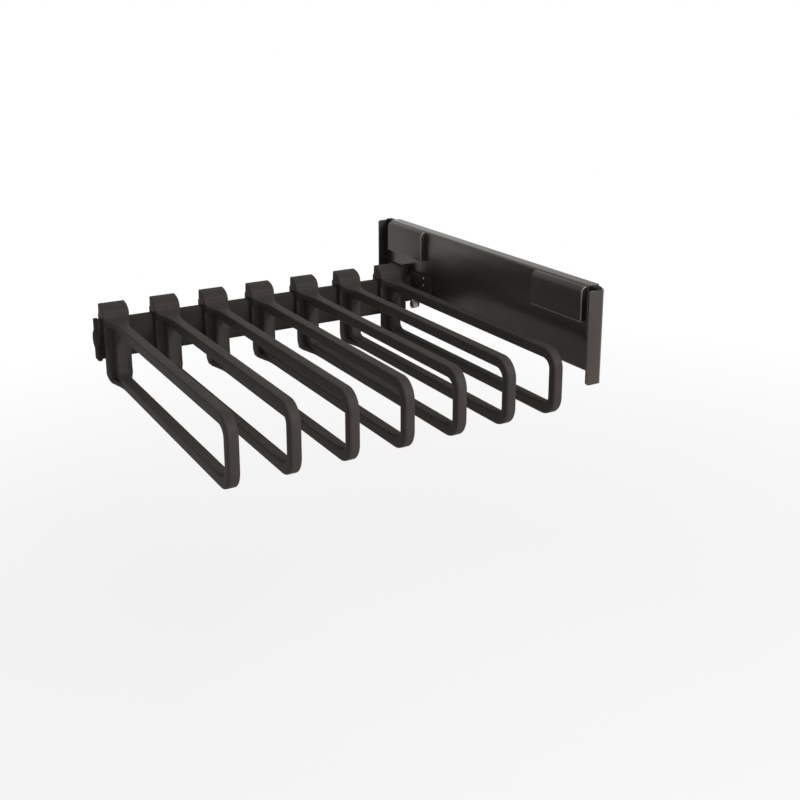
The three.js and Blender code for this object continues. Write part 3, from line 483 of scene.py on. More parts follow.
def paint_rim_highlight(piece, surface, lower_edge=False):
    """A second surface, a painted highlight, on the faces that lean out of the piece's ends in Y: those
    within 2 mm of an end whose normal has 0.2 to 0.97 of Y. The lower edge's faces can take it too."""
    def leaning(share):
        return (share > RIM_LEAN[0]) & (share < RIM_LEAN[1])
    faces = piece.data.polygons
    normal, middle = np.empty(len(faces) * 3), np.empty(len(faces) * 3)
    faces.foreach_get("normal", normal)
    faces.foreach_get("center", middle)
    x, y, z = normal.reshape(-1, 3).T
    place = middle.reshape(-1, 3)[:, 1] / MILLIMETRE
    rim = (np.minimum(place - place.min(), place.max() - place) < RIM_REACH) & leaning(np.abs(y))
    if lower_edge:
        rim |= leaning(-z) & (x < -RIM_LEAN[0])
    piece.data.materials.append(surface)
    faces.foreach_set("material_index", rim.astype(np.int32))


cover_outline = rounded(
    [(COVER_EDGE, COVER_HALF_HEIGHT), (COVER_FACE, COVER_HALF_HEIGHT),
     (COVER_FACE, -COVER_HALF_HEIGHT), (COVER_EDGE, -COVER_HALF_HEIGHT), (COVER_EDGE, -COVER_INSIDE),
     (COVER_BACK, -COVER_INSIDE), (COVER_BACK, COVER_INSIDE), (COVER_EDGE, COVER_INSIDE)],
    [COVER_TIP, COVER_BEND, COVER_BEND, COVER_TIP, COVER_TIP, COVER_INNER_BEND, COVER_INNER_BEND,
     COVER_TIP], steps=10)
slots = [block("slot", (COVER_CUT[0], middle + y - SLOT_HALF, TAB_Z - SLOT_BELOW),
               (COVER_CUT[1], middle + y + SLOT_HALF, TAB_Z + SLOT_ABOVE))
         for middle in CAP_MIDDLES for y in TAB_OFFSETS]
holes = [bar("hole", "X", place, BRACKET_HOLE, *COVER_CUT) for place in BRACKET_SCREWS]
cover = worked(
    prism("cover_sheet", "Y", cover_outline, -COVER_HALF_LENGTH, COVER_HALF_LENGTH, COVER_RIM,
          rim_steps=4),
    "DIFFERENCE", *slots, *holes)
placed(cover, "carriage", "coated_steel", powder_coat, "cover_panel")
# The cover's cut ends carry a painted highlight
paint_rim_highlight(cover, highlight_coat)

# End blocks: moulded plastic, plugged into the cover's two ends to carry the handle strips. The
# rear one is notched for the runner's fixed and middle members.
BLOCK_OUTER, BLOCK_NEAR, BLOCK_HALF_HEIGHT = -15.7, -7.3, 48.0
BLOCK_FRONT, BLOCK_BACK, BLOCK_CHAMFER = -221.5, -208.8, 1.5
BLOCK_CORNERS, BLOCK_RIM = [0.8, 0.5, 0.5, 0.5, 0.5], 0.45
PLUG_FRONT, PLUG_END, PLUG_NEAR, PLUG_RIM, PLUG_CORNER = -210.8, -202.5, -1.3, 0.25, 0.3
# The plug's two steps clear the cover's bends: how far each reaches from the wall, and its half height
PLUG_STEPS = [(-12.0, 46.2), (-14.2, 43.7)]
PEG_X, PEG_ZS, PEG_HOLE, PEG_HOLE_ENDS = -11.5, (35.0, -35.0), 5.6, (-225.0, -212.2)
NOTCH = (-11.7, 195.0, -23.5), (2.0, 230.0, 23.5)


def on_side(side, *places):
    """Places along Y for the front (side 1) or mirrored to the rear (side -1), the lowest first."""
    return sorted(side * place for place in places)


def end_block(name, side):
    """The block for the front (side 1) or the rear (side -1): every Y is multiplied by the side."""
    plan = rounded([(BLOCK_OUTER, BLOCK_FRONT), (BLOCK_NEAR - BLOCK_CHAMFER, BLOCK_FRONT),
                    (BLOCK_NEAR, BLOCK_FRONT + BLOCK_CHAMFER), (BLOCK_NEAR, BLOCK_BACK),
                    (BLOCK_OUTER, BLOCK_BACK)], BLOCK_CORNERS, steps=4)
    body = prism(name, "Z", plan * (1, side), -BLOCK_HALF_HEIGHT, BLOCK_HALF_HEIGHT, BLOCK_RIM)
    low_y, high_y = on_side(side, PLUG_FRONT, PLUG_END)
    plugs = [block("plug", (far, low_y, -half), (PLUG_NEAR, high_y, half), PLUG_RIM, PLUG_CORNER)
             for far, half in PLUG_STEPS]
    tools = [bar("hole", "Y", (PEG_X, z), PEG_HOLE, *on_side(side, *PEG_HOLE_ENDS))
             for z in PEG_ZS]
    if side < 0:
        tools.append(block("notch", *NOTCH))
    return worked(worked(body, "UNION", *plugs), "DIFFERENCE", *tools)


# Its edges take a lighter colour: wear and a painted highlight together
dull_moulding = surface_finish(
    "dull moulding", ((0.0172, 0.0147, 0.0125), (0.0215, 0.0184, 0.0155)), 0.78, 24, 0.35, 0.01,
    spread=0.07, edge_wear_and_highlight=((0.05, 0.046, 0.043), 0.4), speculars=0.06)
for end, side in (("front", 1), ("rear", -1)):
    placed(end_block(end + "_plug_block", side), "carriage", "moulded_plastic", dull_moulding,
           end + "_end_block")

# Handle strips: 2.5 mm steel strip, rolled over at the edge next to the wall and standing proud of
# the cover as a finger grip with rounded corners. Powder-coated, held by two pegs in the block.
STRIP_FAR, STRIP_NEAR, STRIP_SHEET = -27.5, -4.5, 2.5
STRIP_FRONT, STRIP_BACK, STRIP_RETURN, STRIP_ENDS = -224.3, -221.8, -214.3, (-226.0, -212.0)
STRIP_TOP, STRIP_BOTTOM, STRIP_PAST = 46.0, -58.0, 1.0
# Corner radii: of the section, from the finger edge round the roll and back, and of the face
STRIP_BENDS, STRIP_CORNERS = [1.2, 1.2, 7.0, 0.4, 0.4, 4.5], [4.5, 0.6, 0.6, 3.5]
STRIP_EASE, STRIP_EASE_ANGLE = 0.35, math.radians(50)
PEG, PEG_RIM, PEG_ENDS = 5.0, 0.4, (-223.0, -212.8)


def handle_strip(name, side):
    """The strip's section in (X, Y) carried up, kept inside the rounded rectangle of its face."""
    section = rounded(
        [(STRIP_FAR, STRIP_BACK), (STRIP_FAR, STRIP_FRONT), (STRIP_NEAR, STRIP_FRONT),
         (STRIP_NEAR, STRIP_RETURN), (STRIP_NEAR - STRIP_SHEET, STRIP_RETURN),
         (STRIP_NEAR - STRIP_SHEET, STRIP_BACK)], STRIP_BENDS, steps=12)
    face = rounded([(STRIP_FAR, STRIP_BOTTOM), (STRIP_NEAR, STRIP_BOTTOM),
                    (STRIP_NEAR, STRIP_TOP), (STRIP_FAR, STRIP_TOP)], STRIP_CORNERS, steps=10)
    body = prism(name, "Z", section * (1, side), STRIP_BOTTOM - STRIP_PAST, STRIP_TOP + STRIP_PAST)
    body = worked(body, "INTERSECT", prism("face", "Y", face, *on_side(side, *STRIP_ENDS)))
    eased = body.modifiers.new("eased edges", "BEVEL")
    eased.width = STRIP_EASE * MILLIMETRE
    eased.segments = 3
    eased.limit_method = "ANGLE"
    eased.angle_limit = STRIP_EASE_ANGLE
    pegs = [bar("peg", "Y", (PEG_X, z), PEG, *on_side(side, *PEG_ENDS), rim=PEG_RIM)
            for z in PEG_ZS]
    body = worked(body, "UNION", *pegs)
    return body if side > 0 else worked(body, "DIFFERENCE", block("notch", *NOTCH))


for end, side in (("front", 1), ("rear", -1)):
    placed(handle_strip(end + "_strip", side), "carriage", "coated_steel", powder_coat,
           end + "_handle_strip")

# Snap caps: hollow mouldings on the cover's face, with a broad rounded top edge. Two barbed tabs
# on each snap into slots in the cover. Their ends and lower edge carry a painted highlight.
CAP_FACE, CAP_BACK, CAP_PAST = -23.0, -16.3, -10.0
CAP_TOP, CAP_BOTTOM, CAP_HALF, CAP_WALL = 46.8, 7.4, 43.5, 1.8
CAP_ROUND, CAP_EDGE, CAP_INNER_EDGE, CAP_TRIM = 6.5, 1.5, 0.6, 60.0
TAB_ROOT, TAB_TIP, TAB_HALF_SHEET, TAB_HALF_WIDTH = -22.1, -12.6, 0.9, 4.0
BARB_X, BARB_RISE = -14.2, 1.7

# Its edges take a much lighter colour, mostly a painted highlight and partly wear
satin_moulding = surface_finish(
    "satin moulding", ((0.0165, 0.014, 0.0118), (0.0195, 0.0168, 0.0142)), 0.4, 30, 0.35, 0.006,
    spread=0.07, edge_wear_and_highlight=((0.22, 0.207, 0.194), 0.6), speculars=0.42, tint=WARM_GLOSS)


def cap_shell(name, middle, inset, edge):
    """The cap as a full solid, smaller by the inset all round: its section in (X, Z) carried along Y.
    It runs on past the cover's face, where it is trimmed."""
    section = rounded(
        [(CAP_PAST, CAP_TOP - inset), (CAP_FACE + inset, CAP_TOP - inset),
         (CAP_FACE + inset, CAP_BOTTOM + inset), (CAP_PAST, CAP_BOTTOM + inset)],
        [0, CAP_ROUND - inset, edge, 0], steps=10)
    return prism(name, "Y", section, middle - CAP_HALF + inset, middle + CAP_HALF - inset, edge,
                 rim_steps=5)


def snap_cap(name, middle):
    """Outer shell less a smaller one, trimmed flat against the cover, with its two tabs."""
    body = worked(cap_shell(name, middle, 0, CAP_EDGE), "DIFFERENCE",
                  cap_shell("hollow", middle, CAP_WALL, CAP_INNER_EDGE),
                  block("trim", (CAP_BACK, middle - CAP_TRIM, CAP_PAST), (0, middle + CAP_TRIM, CAP_TRIM)))
    tab = np.array([(TAB_ROOT, TAB_Z - TAB_HALF_SHEET), (TAB_TIP, TAB_Z - TAB_HALF_SHEET),
                    (TAB_TIP, TAB_Z + TAB_HALF_SHEET), (BARB_X, TAB_Z + BARB_RISE),
                    (BARB_X, TAB_Z + TAB_HALF_SHEET), (TAB_ROOT, TAB_Z + TAB_HALF_SHEET)])
    return worked(body, "UNION", *[
        prism("tab", "Y", tab, middle + offset - TAB_HALF_WIDTH, middle + offset + TAB_HALF_WIDTH)
        for offset in TAB_OFFSETS])


for end, middle in zip(("front", "rear"), CAP_MIDDLES):
    cap = placed(snap_cap(end + "_cap_shell", middle), "carriage", "moulded_plastic",
                 satin_moulding, end + "_snap_cap")
    # The cap's ends and lower edge carry a painted highlight
    paint_rim_highlight(cap, highlight_coat, lower_edge=True)

# Rail bracket: one moulding with a plate on the cover's face, a boss against the rail's end, a
# tenon inside the rail and an ear for the adjusting screw. Four small screws hold it on the cover.
RAIL_Y = 154.5
ADJUSTER = (136.0, -54.5)
RAIL_SCREWS, RAIL_SCREW_HOLE = (-35.0, -47.0), 4.1
PLATE_FACE, PLATE_BACK, PLATE_RIM, PLATE_CUT = -19.3, -16.3, 0.5, (-21.0, -15.0)
EAR, EAR_INSET, EAR_RIM = 9.2, 0.05, 0.4
# Each part's lowest and highest Y, lowest and highest Z, and corner radius; then its ends in X
PLATE = (100.8, 208.2, -47, -11, 2)
EAR_ROOT = (131.4, 140.6, -54.5, -30, 0.01)
BOSS, BOSS_ENDS, BOSS_RIM = (149.5, 159.5, -53.5, -18, 0.5), (-26.7, -16.5), 0.4
FINGER, FINGER_ENDS = (157.3, 159.45, -53.4, -3.5, 0.5), (-26.65, -16.45)
TENON, TENON_ENDS, TENON_RIM = (151.3, 157.7, -62.2, -21.3, 0.9), (-59, -25), 0.8
UNDER_BOSS = (-26.7, 148, -64), (-16, 161, -53.5)
SINK, SINK_ENDS, PILOT_ENDS, ADJUSTER_HOLE = 4.3, (-21, -17.7), (-66, -54.2), 5.6
PLATE_SCREW = dict(face=-19.2, seat=-18.0, tip=-13.5, head=3.8, shank=3.0, pitch=0.5,
                   recess=(0.9, 2.2, 0.6))


def upright(low_y, high_y, low_z, high_z, corner):
    """Rounded rectangle in (Y, Z)."""
    return rounded([(low_y, low_z), (high_y, low_z), (high_y, high_z), (low_y, high_z)], corner)


# Its edges take a lighter colour: wear and a painted highlight together
bracket_moulding = surface_finish(
    "bracket moulding", ((0.034, 0.0293, 0.0255), (0.041, 0.0358, 0.031)), 0.52, 24, 0.35, 0.01,
    spread=0.07, edge_wear_and_highlight=((0.07, 0.0642, 0.0597), 0.4), speculars=0.06)
plate = worked(
    prism("bracket_moulding", "X", upright(*PLATE), PLATE_FACE, PLATE_BACK, PLATE_RIM), "UNION",
    bar("ear", "X", ADJUSTER, EAR, PLATE_FACE + EAR_INSET, PLATE_BACK - EAR_INSET, sides=40,
        rim=EAR_RIM),
    prism("ear_root", "X", upright(*EAR_ROOT), PLATE_FACE + EAR_INSET, PLATE_BACK - EAR_INSET),
    prism("boss", "X", upright(*BOSS), *BOSS_ENDS, BOSS_RIM),
    prism("finger", "X", upright(*FINGER), *FINGER_ENDS, BOSS_RIM),
    prism("tenon", "X", upright(*TENON), *TENON_ENDS, TENON_RIM))
sinks = [bar("sink", "X", place, SINK, *SINK_ENDS) for place in BRACKET_SCREWS]
ways = [bar("way", "X", place, BRACKET_HOLE, *PLATE_CUT) for place in BRACKET_SCREWS]
pilots = [bar("pilot", "Z", (x, RAIL_Y), RAIL_SCREW_HOLE, *PILOT_ENDS) for x in RAIL_SCREWS]
plate = worked(plate, "DIFFERENCE", *sinks, *ways, *pilots,
               bar("thread", "X", ADJUSTER, ADJUSTER_HOLE, *PLATE_CUT),
               block("clearance", *UNDER_BOSS))
placed(plate, "carriage", "moulded_plastic", bracket_moulding, "rail_bracket")
for number, place in enumerate(BRACKET_SCREWS, 1):
    held = screw("plate_screw_%d" % number, "X", place, **PLATE_SCREW)
    placed(held, "carriage", "zinc_plate", bright_zinc, "bracket_screw_%d" % number)

# Adjusting screw: a zinc-plated cap screw with a hexagon socket, in the bracket's ear. It sets the
# rail's tilt.
ADJUSTER_HEAD, ADJUSTER_SHANK, ADJUSTER_PITCH, ADJUSTER_THREAD = 11.0, 5.0, 0.8, (-20.5, -16.3)
# Rings of the head along X, and their radii as shares of the head's
ADJUSTER_RINGS = [-26.3, -26.3, -26.0, -25.6, -20.0, -19.7, -19.6]
ADJUSTER_RADII = np.array([0.6, 0.88, 0.97, 1.0, 1.0, 0.985, 0.95])
SOCKET_CORNERS, SOCKET_ENDS = 5.77, (-28, -22.3)

dull_zinc = surface_finish(
    "dull zinc plate", ((0.34, 0.33, 0.315), (0.44, 0.43, 0.41)), 0.58, 3, 0.3, 0.006,
    metallic=0.6, spread=0.1)
adjuster = turned_bar("socket_cap_screw", "X", ADJUSTER, ADJUSTER_RINGS,
                      ADJUSTER_RADII * ADJUSTER_HEAD / 2, sides=48)
adjuster = worked(adjuster, "UNION", threaded("shank", "X", ADJUSTER, ADJUSTER_SHANK,
                                              ADJUSTER_PITCH, *ADJUSTER_THREAD))
adjuster = worked(adjuster, "DIFFERENCE",
                  bar("socket", "X", ADJUSTER, SOCKET_CORNERS, *SOCKET_ENDS, sides=6))
placed(adjuster, "carriage", "zinc_plate", dull_zinc, "adjusting_screw")

# Cross rail: flat steel tube, 10 x 47.5 mm with a 1.5 mm wall, powder-coated. It slides on the
# bracket's tenon and is screwed to it from below.
RAIL_TOP, RAIL_BOTTOM, RAIL_HALF = -18.0, -65.5, 5.0
RAIL_NEAR, RAIL_FAR, RAIL_PAST = -27.0, -441.0, 5.0
RAIL_WALL, RAIL_CORNER, RAIL_RIM, RAIL_CUT = 1.5, 3.0, 0.25, (-70, -60)
TENON_SCREW = dict(face=-67.3, seat=-65.8, tip=-54.5, head=6.0, shank=3.5, pitch=0.8,
                   recess=(0.9, 3.2, 0.8))

# Its edges take a lighter colour: wear and a painted highlight together
dull_coat = surface_finish(
    "dull powder coat", ((0.0235, 0.02, 0.0172), (0.0295, 0.0257, 0.022)), 0.55, 40, 0.7, 0.01,
    spread=0.07, edge_wear_and_highlight=((0.06, 0.056, 0.052), 0.4), speculars=0.06)


def rail_outline(inset):
    """The tube's outline in (Y, Z), drawn in by the inset."""
    return upright(RAIL_Y - RAIL_HALF + inset, RAIL_Y + RAIL_HALF - inset, RAIL_BOTTOM + inset,
                   RAIL_TOP - inset, RAIL_CORNER - inset)


rail = worked(
    prism("rail_tube", "X", rail_outline(0), RAIL_FAR, RAIL_NEAR, RAIL_RIM), "DIFFERENCE",
    prism("bore", "X", rail_outline(RAIL_WALL), RAIL_FAR - RAIL_PAST, RAIL_NEAR + RAIL_PAST),
    *[bar("hole", "Z", (x, RAIL_Y), RAIL_SCREW_HOLE, *RAIL_CUT) for x in RAIL_SCREWS])
placed(rail, "carriage", "coated_steel", dull_coat, "cross_rail")
for number, x in enumerate(RAIL_SCREWS, 1):
    held = screw("tenon_screw_%d" % number, "Z", (x, RAIL_Y), **TENON_SCREW)
    placed(held, "carriage", "zinc_plate", bright_zinc, "rail_screw_%d" % number)

# Rail end cap: a moulded plate on the rail's open end with a round disc across its middle. Its
# plug is pressed into the tube.
END_OUTER, END_INNER, END_RIM = -445.8, -441.3, 0.6
END_PLATE = (146.7, 162.3, -66.5, -17.0, 2)
DISC, DISC_Z, DISC_RISE, DISC_SUNK, DISC_RIM = 24.0, -41.75, 0.7, 2.3, 0.4
END_PLUG_PLAY, END_PLUG_LENGTH, END_PLUG_SUNK, END_PLUG_RIM = 0.3, 14.0, 2.0, 0.5

end_cap = worked(
    prism("end_cap_moulding", "X", upright(*END_PLATE), END_OUTER, END_INNER, END_RIM), "UNION",
    bar("disc", "X", (RAIL_Y, DISC_Z), DISC, END_OUTER - DISC_RISE, END_OUTER + DISC_SUNK,
        sides=64, rim=DISC_RIM),
    prism("plug", "X", rail_outline(RAIL_WALL + END_PLUG_PLAY), END_INNER - END_PLUG_SUNK,
          RAIL_FAR + END_PLUG_LENGTH, END_PLUG_RIM))
placed(end_cap, "carriage", "moulded_plastic", dull_moulding, "rail_end_cap")

# Trouser hangers: seven closed loops, moulded in matt anthracite plastic and hooked over the rail.
# The 12 mm bar widens at the back into webs and a plate in front of the rail, and runs down the
# plate as a deep ridge. Each hanger slides along the rail on its own.
HANGERS, HANGER_PITCH, LAST_HANGER_X = 7, 61.5, -54.3
HOOK_BACK, LEG_BACK, LEG_FRONT, RIDGE_FRONT = 11.3, -5.3, -11.3, -26.3
LOOP_FRONT, LOOP_TOP, LOOP_BOTTOM = -367.0, 0.2, -74.8
LOOP_CORNER, BAR, BAR_EDGE, LIMB_EDGE = 22.0, 12.0, 1.6, 3.0
PLATE_HALF, WEB, PLATE_EDGE, FOOT_CORNER = 15.5, 6.0, 1.1, 7.5
HEAD_TOP, HEAD_ROUND_Z, HEAD_ROUND_DEPTH, HEAD_FILLET = 17.5, 6.5, 19.0, 16.0
HOOK_SEAT, HOOK_END, HOOK_CORNERS = 0.3, -30.0, [0, 0.8, 0.8, 1.5, 2.5, 1.2]
LEG_FILLET, LEG_GAP = 8.0, 0.5
EDGE_RINGS, ARC_POINTS, WEB_POINTS = 6, 17, 25
FLARE, FLARE_START = 54.0, 0.3
# The bar and the plate are two skins that are joined. One is sunk this far into the other, so that
# no faces lie on each other, and comes out of it over the ramp.
SUNK, RAMP = 0.03, 8.0
# What the triangulation keeps: 1 stands for the triangles within the outline alone
WITHIN = 1


def corner_arcs(low_y, high_y, low_z, high_z, radius, steps):
    """Middles of a rounded rectangle's four corner arcs, one row for each of their points."""
    middles = np.array([
        (high_y - radius, high_z - radius), (low_y + radius, high_z - radius),
        (low_y + radius, low_z + radius), (high_y - radius, low_z + radius)])
    return np.repeat(middles, steps, axis=0)


def loop_bar(name, steps=15):
    """Ring i of the bar lies at angle i round the loop, in its corner arc. The ring's points are at
    the outer arc's radius less the edge's rounding, or the inner arc's plus it, and their half widths
    make quarter circles at the four edges. The rounding grows towards the front limb with the square
    of the angle's negative cosine."""
    quarter = np.linspace(0, math.pi / 2, EDGE_RINGS)
    angle = (np.arange(4)[:, None] + np.linspace(0, 1, steps)).ravel() * math.pi / 2
    around = np.stack([np.cos(angle), np.sin(angle)], axis=1)
    edge = BAR_EDGE + (LIMB_EDGE - BAR_EDGE) * np.clip(-around[:, :1], 0, 1) ** 2
    across = BAR / 2 - edge * (1 - np.cos(quarter))
    back = edge * (1 - np.sin(quarter))
    outer = corner_arcs(LOOP_FRONT, LEG_BACK - SUNK, LOOP_BOTTOM, LOOP_TOP, LOOP_CORNER, steps)
    inner = corner_arcs(LOOP_FRONT + BAR, RIDGE_FRONT, LOOP_BOTTOM + BAR, LOOP_TOP - BAR,
                        LOOP_CORNER - BAR, steps)
    outside = outer[:, None] + (LOOP_CORNER - back)[..., None] * around[:, None]
    inside = inner[:, None] + (LOOP_CORNER - BAR + back)[..., None] * around[:, None]
    right = np.concatenate([inside[:, ::-1], outside], axis=1)
    half = np.concatenate([across[:, ::-1], across], axis=1)
    ring = np.concatenate([right, right[:, ::-1]], axis=1)
    width = np.concatenate([half, -half[:, ::-1]], axis=1)
    points = np.concatenate([width[..., None], ring], axis=-1)
    return solid(name, points, side_faces(points.shape[0], points.shape[1], looped=True))


def plate_half(y):
    """Half width of the plate and its webs. From the start of the flare it is the bar's half plus
    the gain times the square of the share of the way to the leg."""
    share = np.clip((y - (LEG_FRONT - FLARE)) / FLARE, 0, 1)
    bend = np.clip((share - FLARE_START) / (1 - FLARE_START), 0, 1)
    return BAR / 2 - SUNK + (PLATE_HALF - BAR / 2 + SUNK) * bend ** 2


def head_outline():
    """Outline of head, plate, webs and hook in (Y, Z). The head is a quarter ellipse, followed by a
    hollow quarter ellipse down to the top bar. The webs meet the plate in quarter circles, and the
    lower web is the upper one mirrored about the loop's middle."""
    quarter = np.linspace(0, math.pi / 2, ARC_POINTS)
    web_end = LEG_FRONT - FLARE
    along = np.linspace(LEG_FRONT - HEAD_FILLET, web_end, WEB_POINTS)[1:]
    level = SUNK * (2 * np.clip((along - web_end) / RAMP, 0, 1) - 1)
    head = np.stack([LEG_FRONT + HEAD_ROUND_DEPTH * (1 - np.sin(quarter)),
                     HEAD_ROUND_Z + (HEAD_TOP - HEAD_ROUND_Z) * np.cos(quarter)], axis=1)
    hollow = np.stack([LEG_FRONT - HEAD_FILLET * (1 - np.cos(quarter)),
                       HEAD_ROUND_Z - (HEAD_ROUND_Z - LOOP_TOP - SUNK) * np.sin(quarter)], axis=1)
    top = np.stack([along, LOOP_TOP + level], axis=1)
    back = along[::-1]
    back = back[back < LEG_FRONT - LEG_FILLET - LEG_GAP]
    underside = np.stack([back, np.full(len(back), LOOP_TOP - WEB)], axis=1)
    corner = np.stack([LEG_FRONT - LEG_FILLET * (1 - np.sin(quarter)),
                       LOOP_TOP - WEB - LEG_FILLET * (1 - np.cos(quarter))], axis=1)
    flat = np.array([(LEG_FRONT - share * HEAD_FILLET, LOOP_TOP + SUNK) for share in (0, 0.5, 1)])
    lower = np.concatenate([flat, top, underside, corner])[::-1] * (1, -1)
    lower += (0, LOOP_TOP + LOOP_BOTTOM)
    hook = rounded([(LEG_BACK, LOOP_BOTTOM - SUNK), (LEG_BACK, HOOK_SEAT), (-LEG_BACK, HOOK_SEAT),
                    (-LEG_BACK, HOOK_END), (HOOK_BACK, HOOK_END), (HOOK_BACK, HEAD_TOP)],
                   HOOK_CORNERS, steps=4)
    return np.concatenate([head, hollow[1:], top, underside, corner, lower, hook])


def head_and_plate(name):
    """A closed skin over the outline. At angle a its rim is drawn in by r * (1 - cos a) and stands
    at the half width less r * (1 - sin a). The foot's corners are quarter circles. Triangles within
    the outline fill its two sides."""
    outline = head_outline()
    leg_share = np.clip((outline[:, 0] - (LEG_FRONT - FLARE)) / FLARE, 0, 1)
    radius = BAR_EDGE + (PLATE_EDGE - BAR_EDGE) * leg_share
    angle = np.linspace(0, math.pi / 2, EDGE_RINGS)[:, None]
    drawn = radius * (1 - np.cos(angle))
    off = radius * (1 - np.sin(angle))
    flat = outline[None] + drawn[..., None] * inward(outline)[None]
    half = plate_half(flat[..., 0])
    foot = np.clip((LOOP_BOTTOM + FOOT_CORNER - flat[..., 1]) / FOOT_CORNER, 0, 1)
    half = np.minimum(half, PLATE_HALF - FOOT_CORNER * (1 - np.sqrt(1 - foot ** 2)))
    right = np.concatenate([(half - off)[..., None], flat], axis=-1)
    rings = np.concatenate([(right * (-1, 1, 1))[::-1], right])
    count = len(outline)
    edges = [(i, (i + 1) % count) for i in range(count)]
    cover = delaunay_2d_cdt([tuple(point) for point in flat[-1]], edges, [], WITHIN, TOUCHING)[2]
    last = (len(rings) - 1) * count
    faces = side_faces(len(rings), count)
    faces += [[last + corner for corner in face] for face in cover]
    faces += [list(face)[::-1] for face in cover]
    return solid(name, rings, faces)


# Its edges take a lighter colour: wear and a painted highlight together
hanger_moulding = surface_finish(
    "matt hanger moulding", ((0.0428, 0.0368, 0.0338), (0.0502, 0.0431, 0.0396)), 0.54, 24, 0.4,
    0.012, spread=0.07, edge_wear_and_highlight=((0.072, 0.0624, 0.0572), 0.6), speculars=0.05)
pattern = worked(head_and_plate("hanger_pattern"), "UNION", loop_bar("loop"))
for number in range(1, HANGERS + 1):
    x = LAST_HANGER_X - HANGER_PITCH * (HANGERS - number)
    mesh = pattern.data.copy()
    place = np.empty(len(mesh.vertices) * 3)
    mesh.vertices.foreach_get("co", place)
    place = place.reshape(-1, 3) + np.array([x, RAIL_Y, RAIL_TOP]) * MILLIMETRE
    mesh.vertices.foreach_set("co", place.ravel())
    mesh.update()
    loop = bpy.data.objects.new("trouser_hanger_%d" % number, mesh)
    bpy.context.scene.collection.objects.link(loop)
    placed(loop, "hanger_%d" % number, "hanger_plastic", hanger_moulding, "hanger_%d" % number)
bpy.data.meshes.remove(pattern.data)

# Studio: a pale floor well below the rack and a pale backdrop. Soft light comes from a lamp above on
# the front right and a broad, weak one on the front left. The camera stands on the left and looks
# down. Lamps and camera are placed in metres.
FLOOR_Z, FLOOR_REACH = -560.0, 30000.0
PALE = (0.82, 0.81, 0.8, 1)
# The camera sees the floor as 0.8 white within 0.7 m, where the rest shows the rack's shadow, and
# as all white from 1.8 m
FADE_STOPS, FADE_NEAR = (0.7, 1.8), 0.8
SKY_LIGHT = 0.22
LOOK_DOWN, LOOK_RIGHT = 0.2511, -0.5354


def showing(nodes, links):
    """1 for what the camera, a reflection or clear matter shows, 0 for what lights the object."""
    ray = nodes.new("ShaderNodeLightPath")
    total = ray.outputs["Is Camera Ray"]
    for kind in ("Is Glossy Ray", "Is Transmission Ray"):
        higher = nodes.new("ShaderNodeMath")
        higher.operation = "MAXIMUM"
        links.new(total, higher.inputs[0])
        links.new(ray.outputs[kind], higher.inputs[1])
        total = higher.outputs[0]
    return total


def blended(nodes, links, share, first, second):
    """The first shader where the share is 0 and the second where it is 1."""
    either = nodes.new("ShaderNodeMixShader")
    for socket, source in zip(either.inputs, (share, first, second)):
        links.new(source, socket)
    return either.outputs[0]


backdrop = bpy.data.worlds.new("studio")
bpy.context.scene.world = backdrop
backdrop.use_nodes = True
nodes, links = backdrop.node_tree.nodes, backdrop.node_tree.links
nodes.clear()
skies = []
for colour, strength in (((1, 0.99, 0.98, 1), SKY_LIGHT), ((1, 1, 1, 1), 1)):
    sky = nodes.new("ShaderNodeBackground")
    sky.inputs["Color"].default_value = colour
    sky.inputs["Strength"].default_value = strength
    skies.append(sky.outputs[0])
out = nodes.new("ShaderNodeOutputWorld")
links.new(blended(nodes, links, showing(nodes, links), *skies), out.inputs["Surface"])

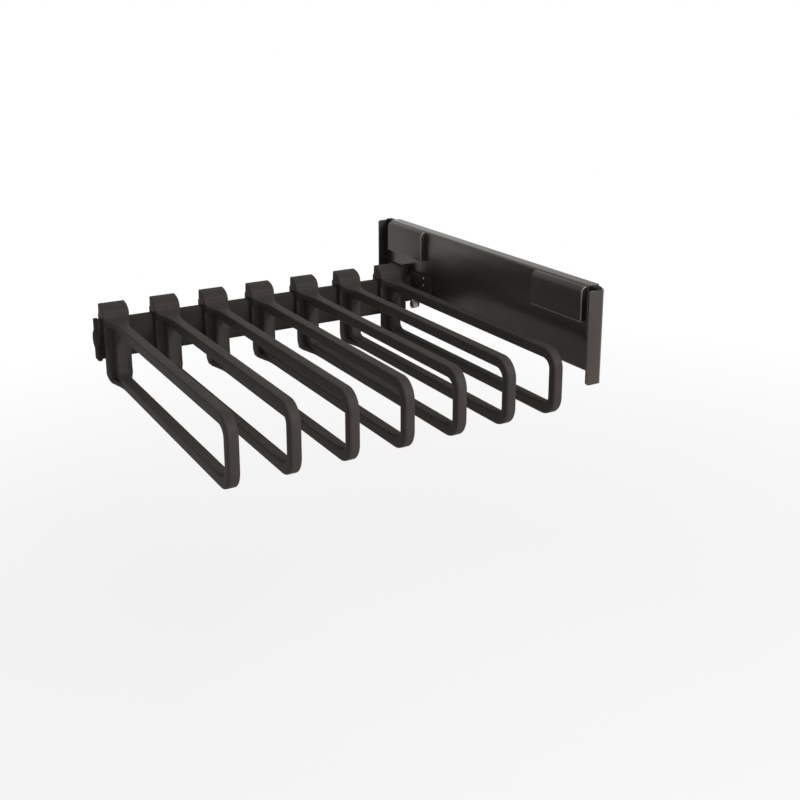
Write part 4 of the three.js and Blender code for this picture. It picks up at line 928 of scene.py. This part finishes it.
floor_mesh = bpy.data.meshes.new("floor")
square = np.array([(-1, -1), (1, -1), (1, 1), (-1, 1)]) * FLOOR_REACH * MILLIMETRE
floor_mesh.from_pydata([(x, y, FLOOR_Z * MILLIMETRE) for x, y in square], [], [(0, 1, 2, 3)])
floor = bpy.data.objects.new("floor", floor_mesh)
bpy.context.scene.collection.objects.link(floor)
pale = bpy.data.materials.new("pale floor")
pale.use_nodes = True
nodes, links = pale.node_tree.nodes, pale.node_tree.links
pale_shader = nodes["Principled BSDF"]
pale_shader.inputs["Base Color"].default_value = PALE
pale_shader.inputs["Roughness"].default_value = 0.9
pale_shader.inputs["Specular IOR Level"].default_value = 0.1
place = nodes.new("ShaderNodeTexCoord")
far = nodes.new("ShaderNodeVectorMath")
far.operation = "LENGTH"
links.new(place.outputs["Object"], far.inputs[0])
share = nodes.new("ShaderNodeMath")
share.operation = "MULTIPLY"
links.new(showing(nodes, links), share.inputs[0])
links.new(ranged(nodes, links, far.outputs["Value"], FADE_STOPS, FADE_NEAR, 1), share.inputs[1])
lit = nodes.new("ShaderNodeEmission")
links.new(blended(nodes, links, share.outputs[0], pale_shader.outputs[0], lit.outputs[0]),
          nodes["Material Output"].inputs["Surface"])
floor_mesh.materials.append(pale)


def soft_lamp(name, place, aim, size, power):
    """A square area lamp at a place, turned towards a point. Places are metres."""
    lamp = bpy.data.lights.new(name, "AREA")
    lamp.size = size
    lamp.energy = power
    held = bpy.data.objects.new(name, lamp)
    bpy.context.scene.collection.objects.link(held)
    held.location = place
    held.rotation_euler = (Vector(aim) - Vector(place)).to_track_quat("-Z", "Y").to_euler()


soft_lamp("front lamp", (0.35, -1.6, 1.0), (-0.22, 0, -0.02), 0.7, 32)
soft_lamp("side lamp", (-1.0, -1.9, 0.3), (-0.22, 0, 0), 1.4, 9)

camera = bpy.data.cameras.new("camera")
camera.lens = 48.173
camera.sensor_width = 36
camera.shift_y = -0.15
stand = bpy.data.objects.new("camera", camera)
bpy.context.scene.collection.objects.link(stand)
stand.location = (-0.74891, -1.0517, 0.33612)
stand.rotation_euler = Euler((math.pi / 2 - LOOK_DOWN, 0, LOOK_RIGHT))
bpy.context.scene.camera = stand
bpy.context.scene.view_settings.view_transform = "Standard"
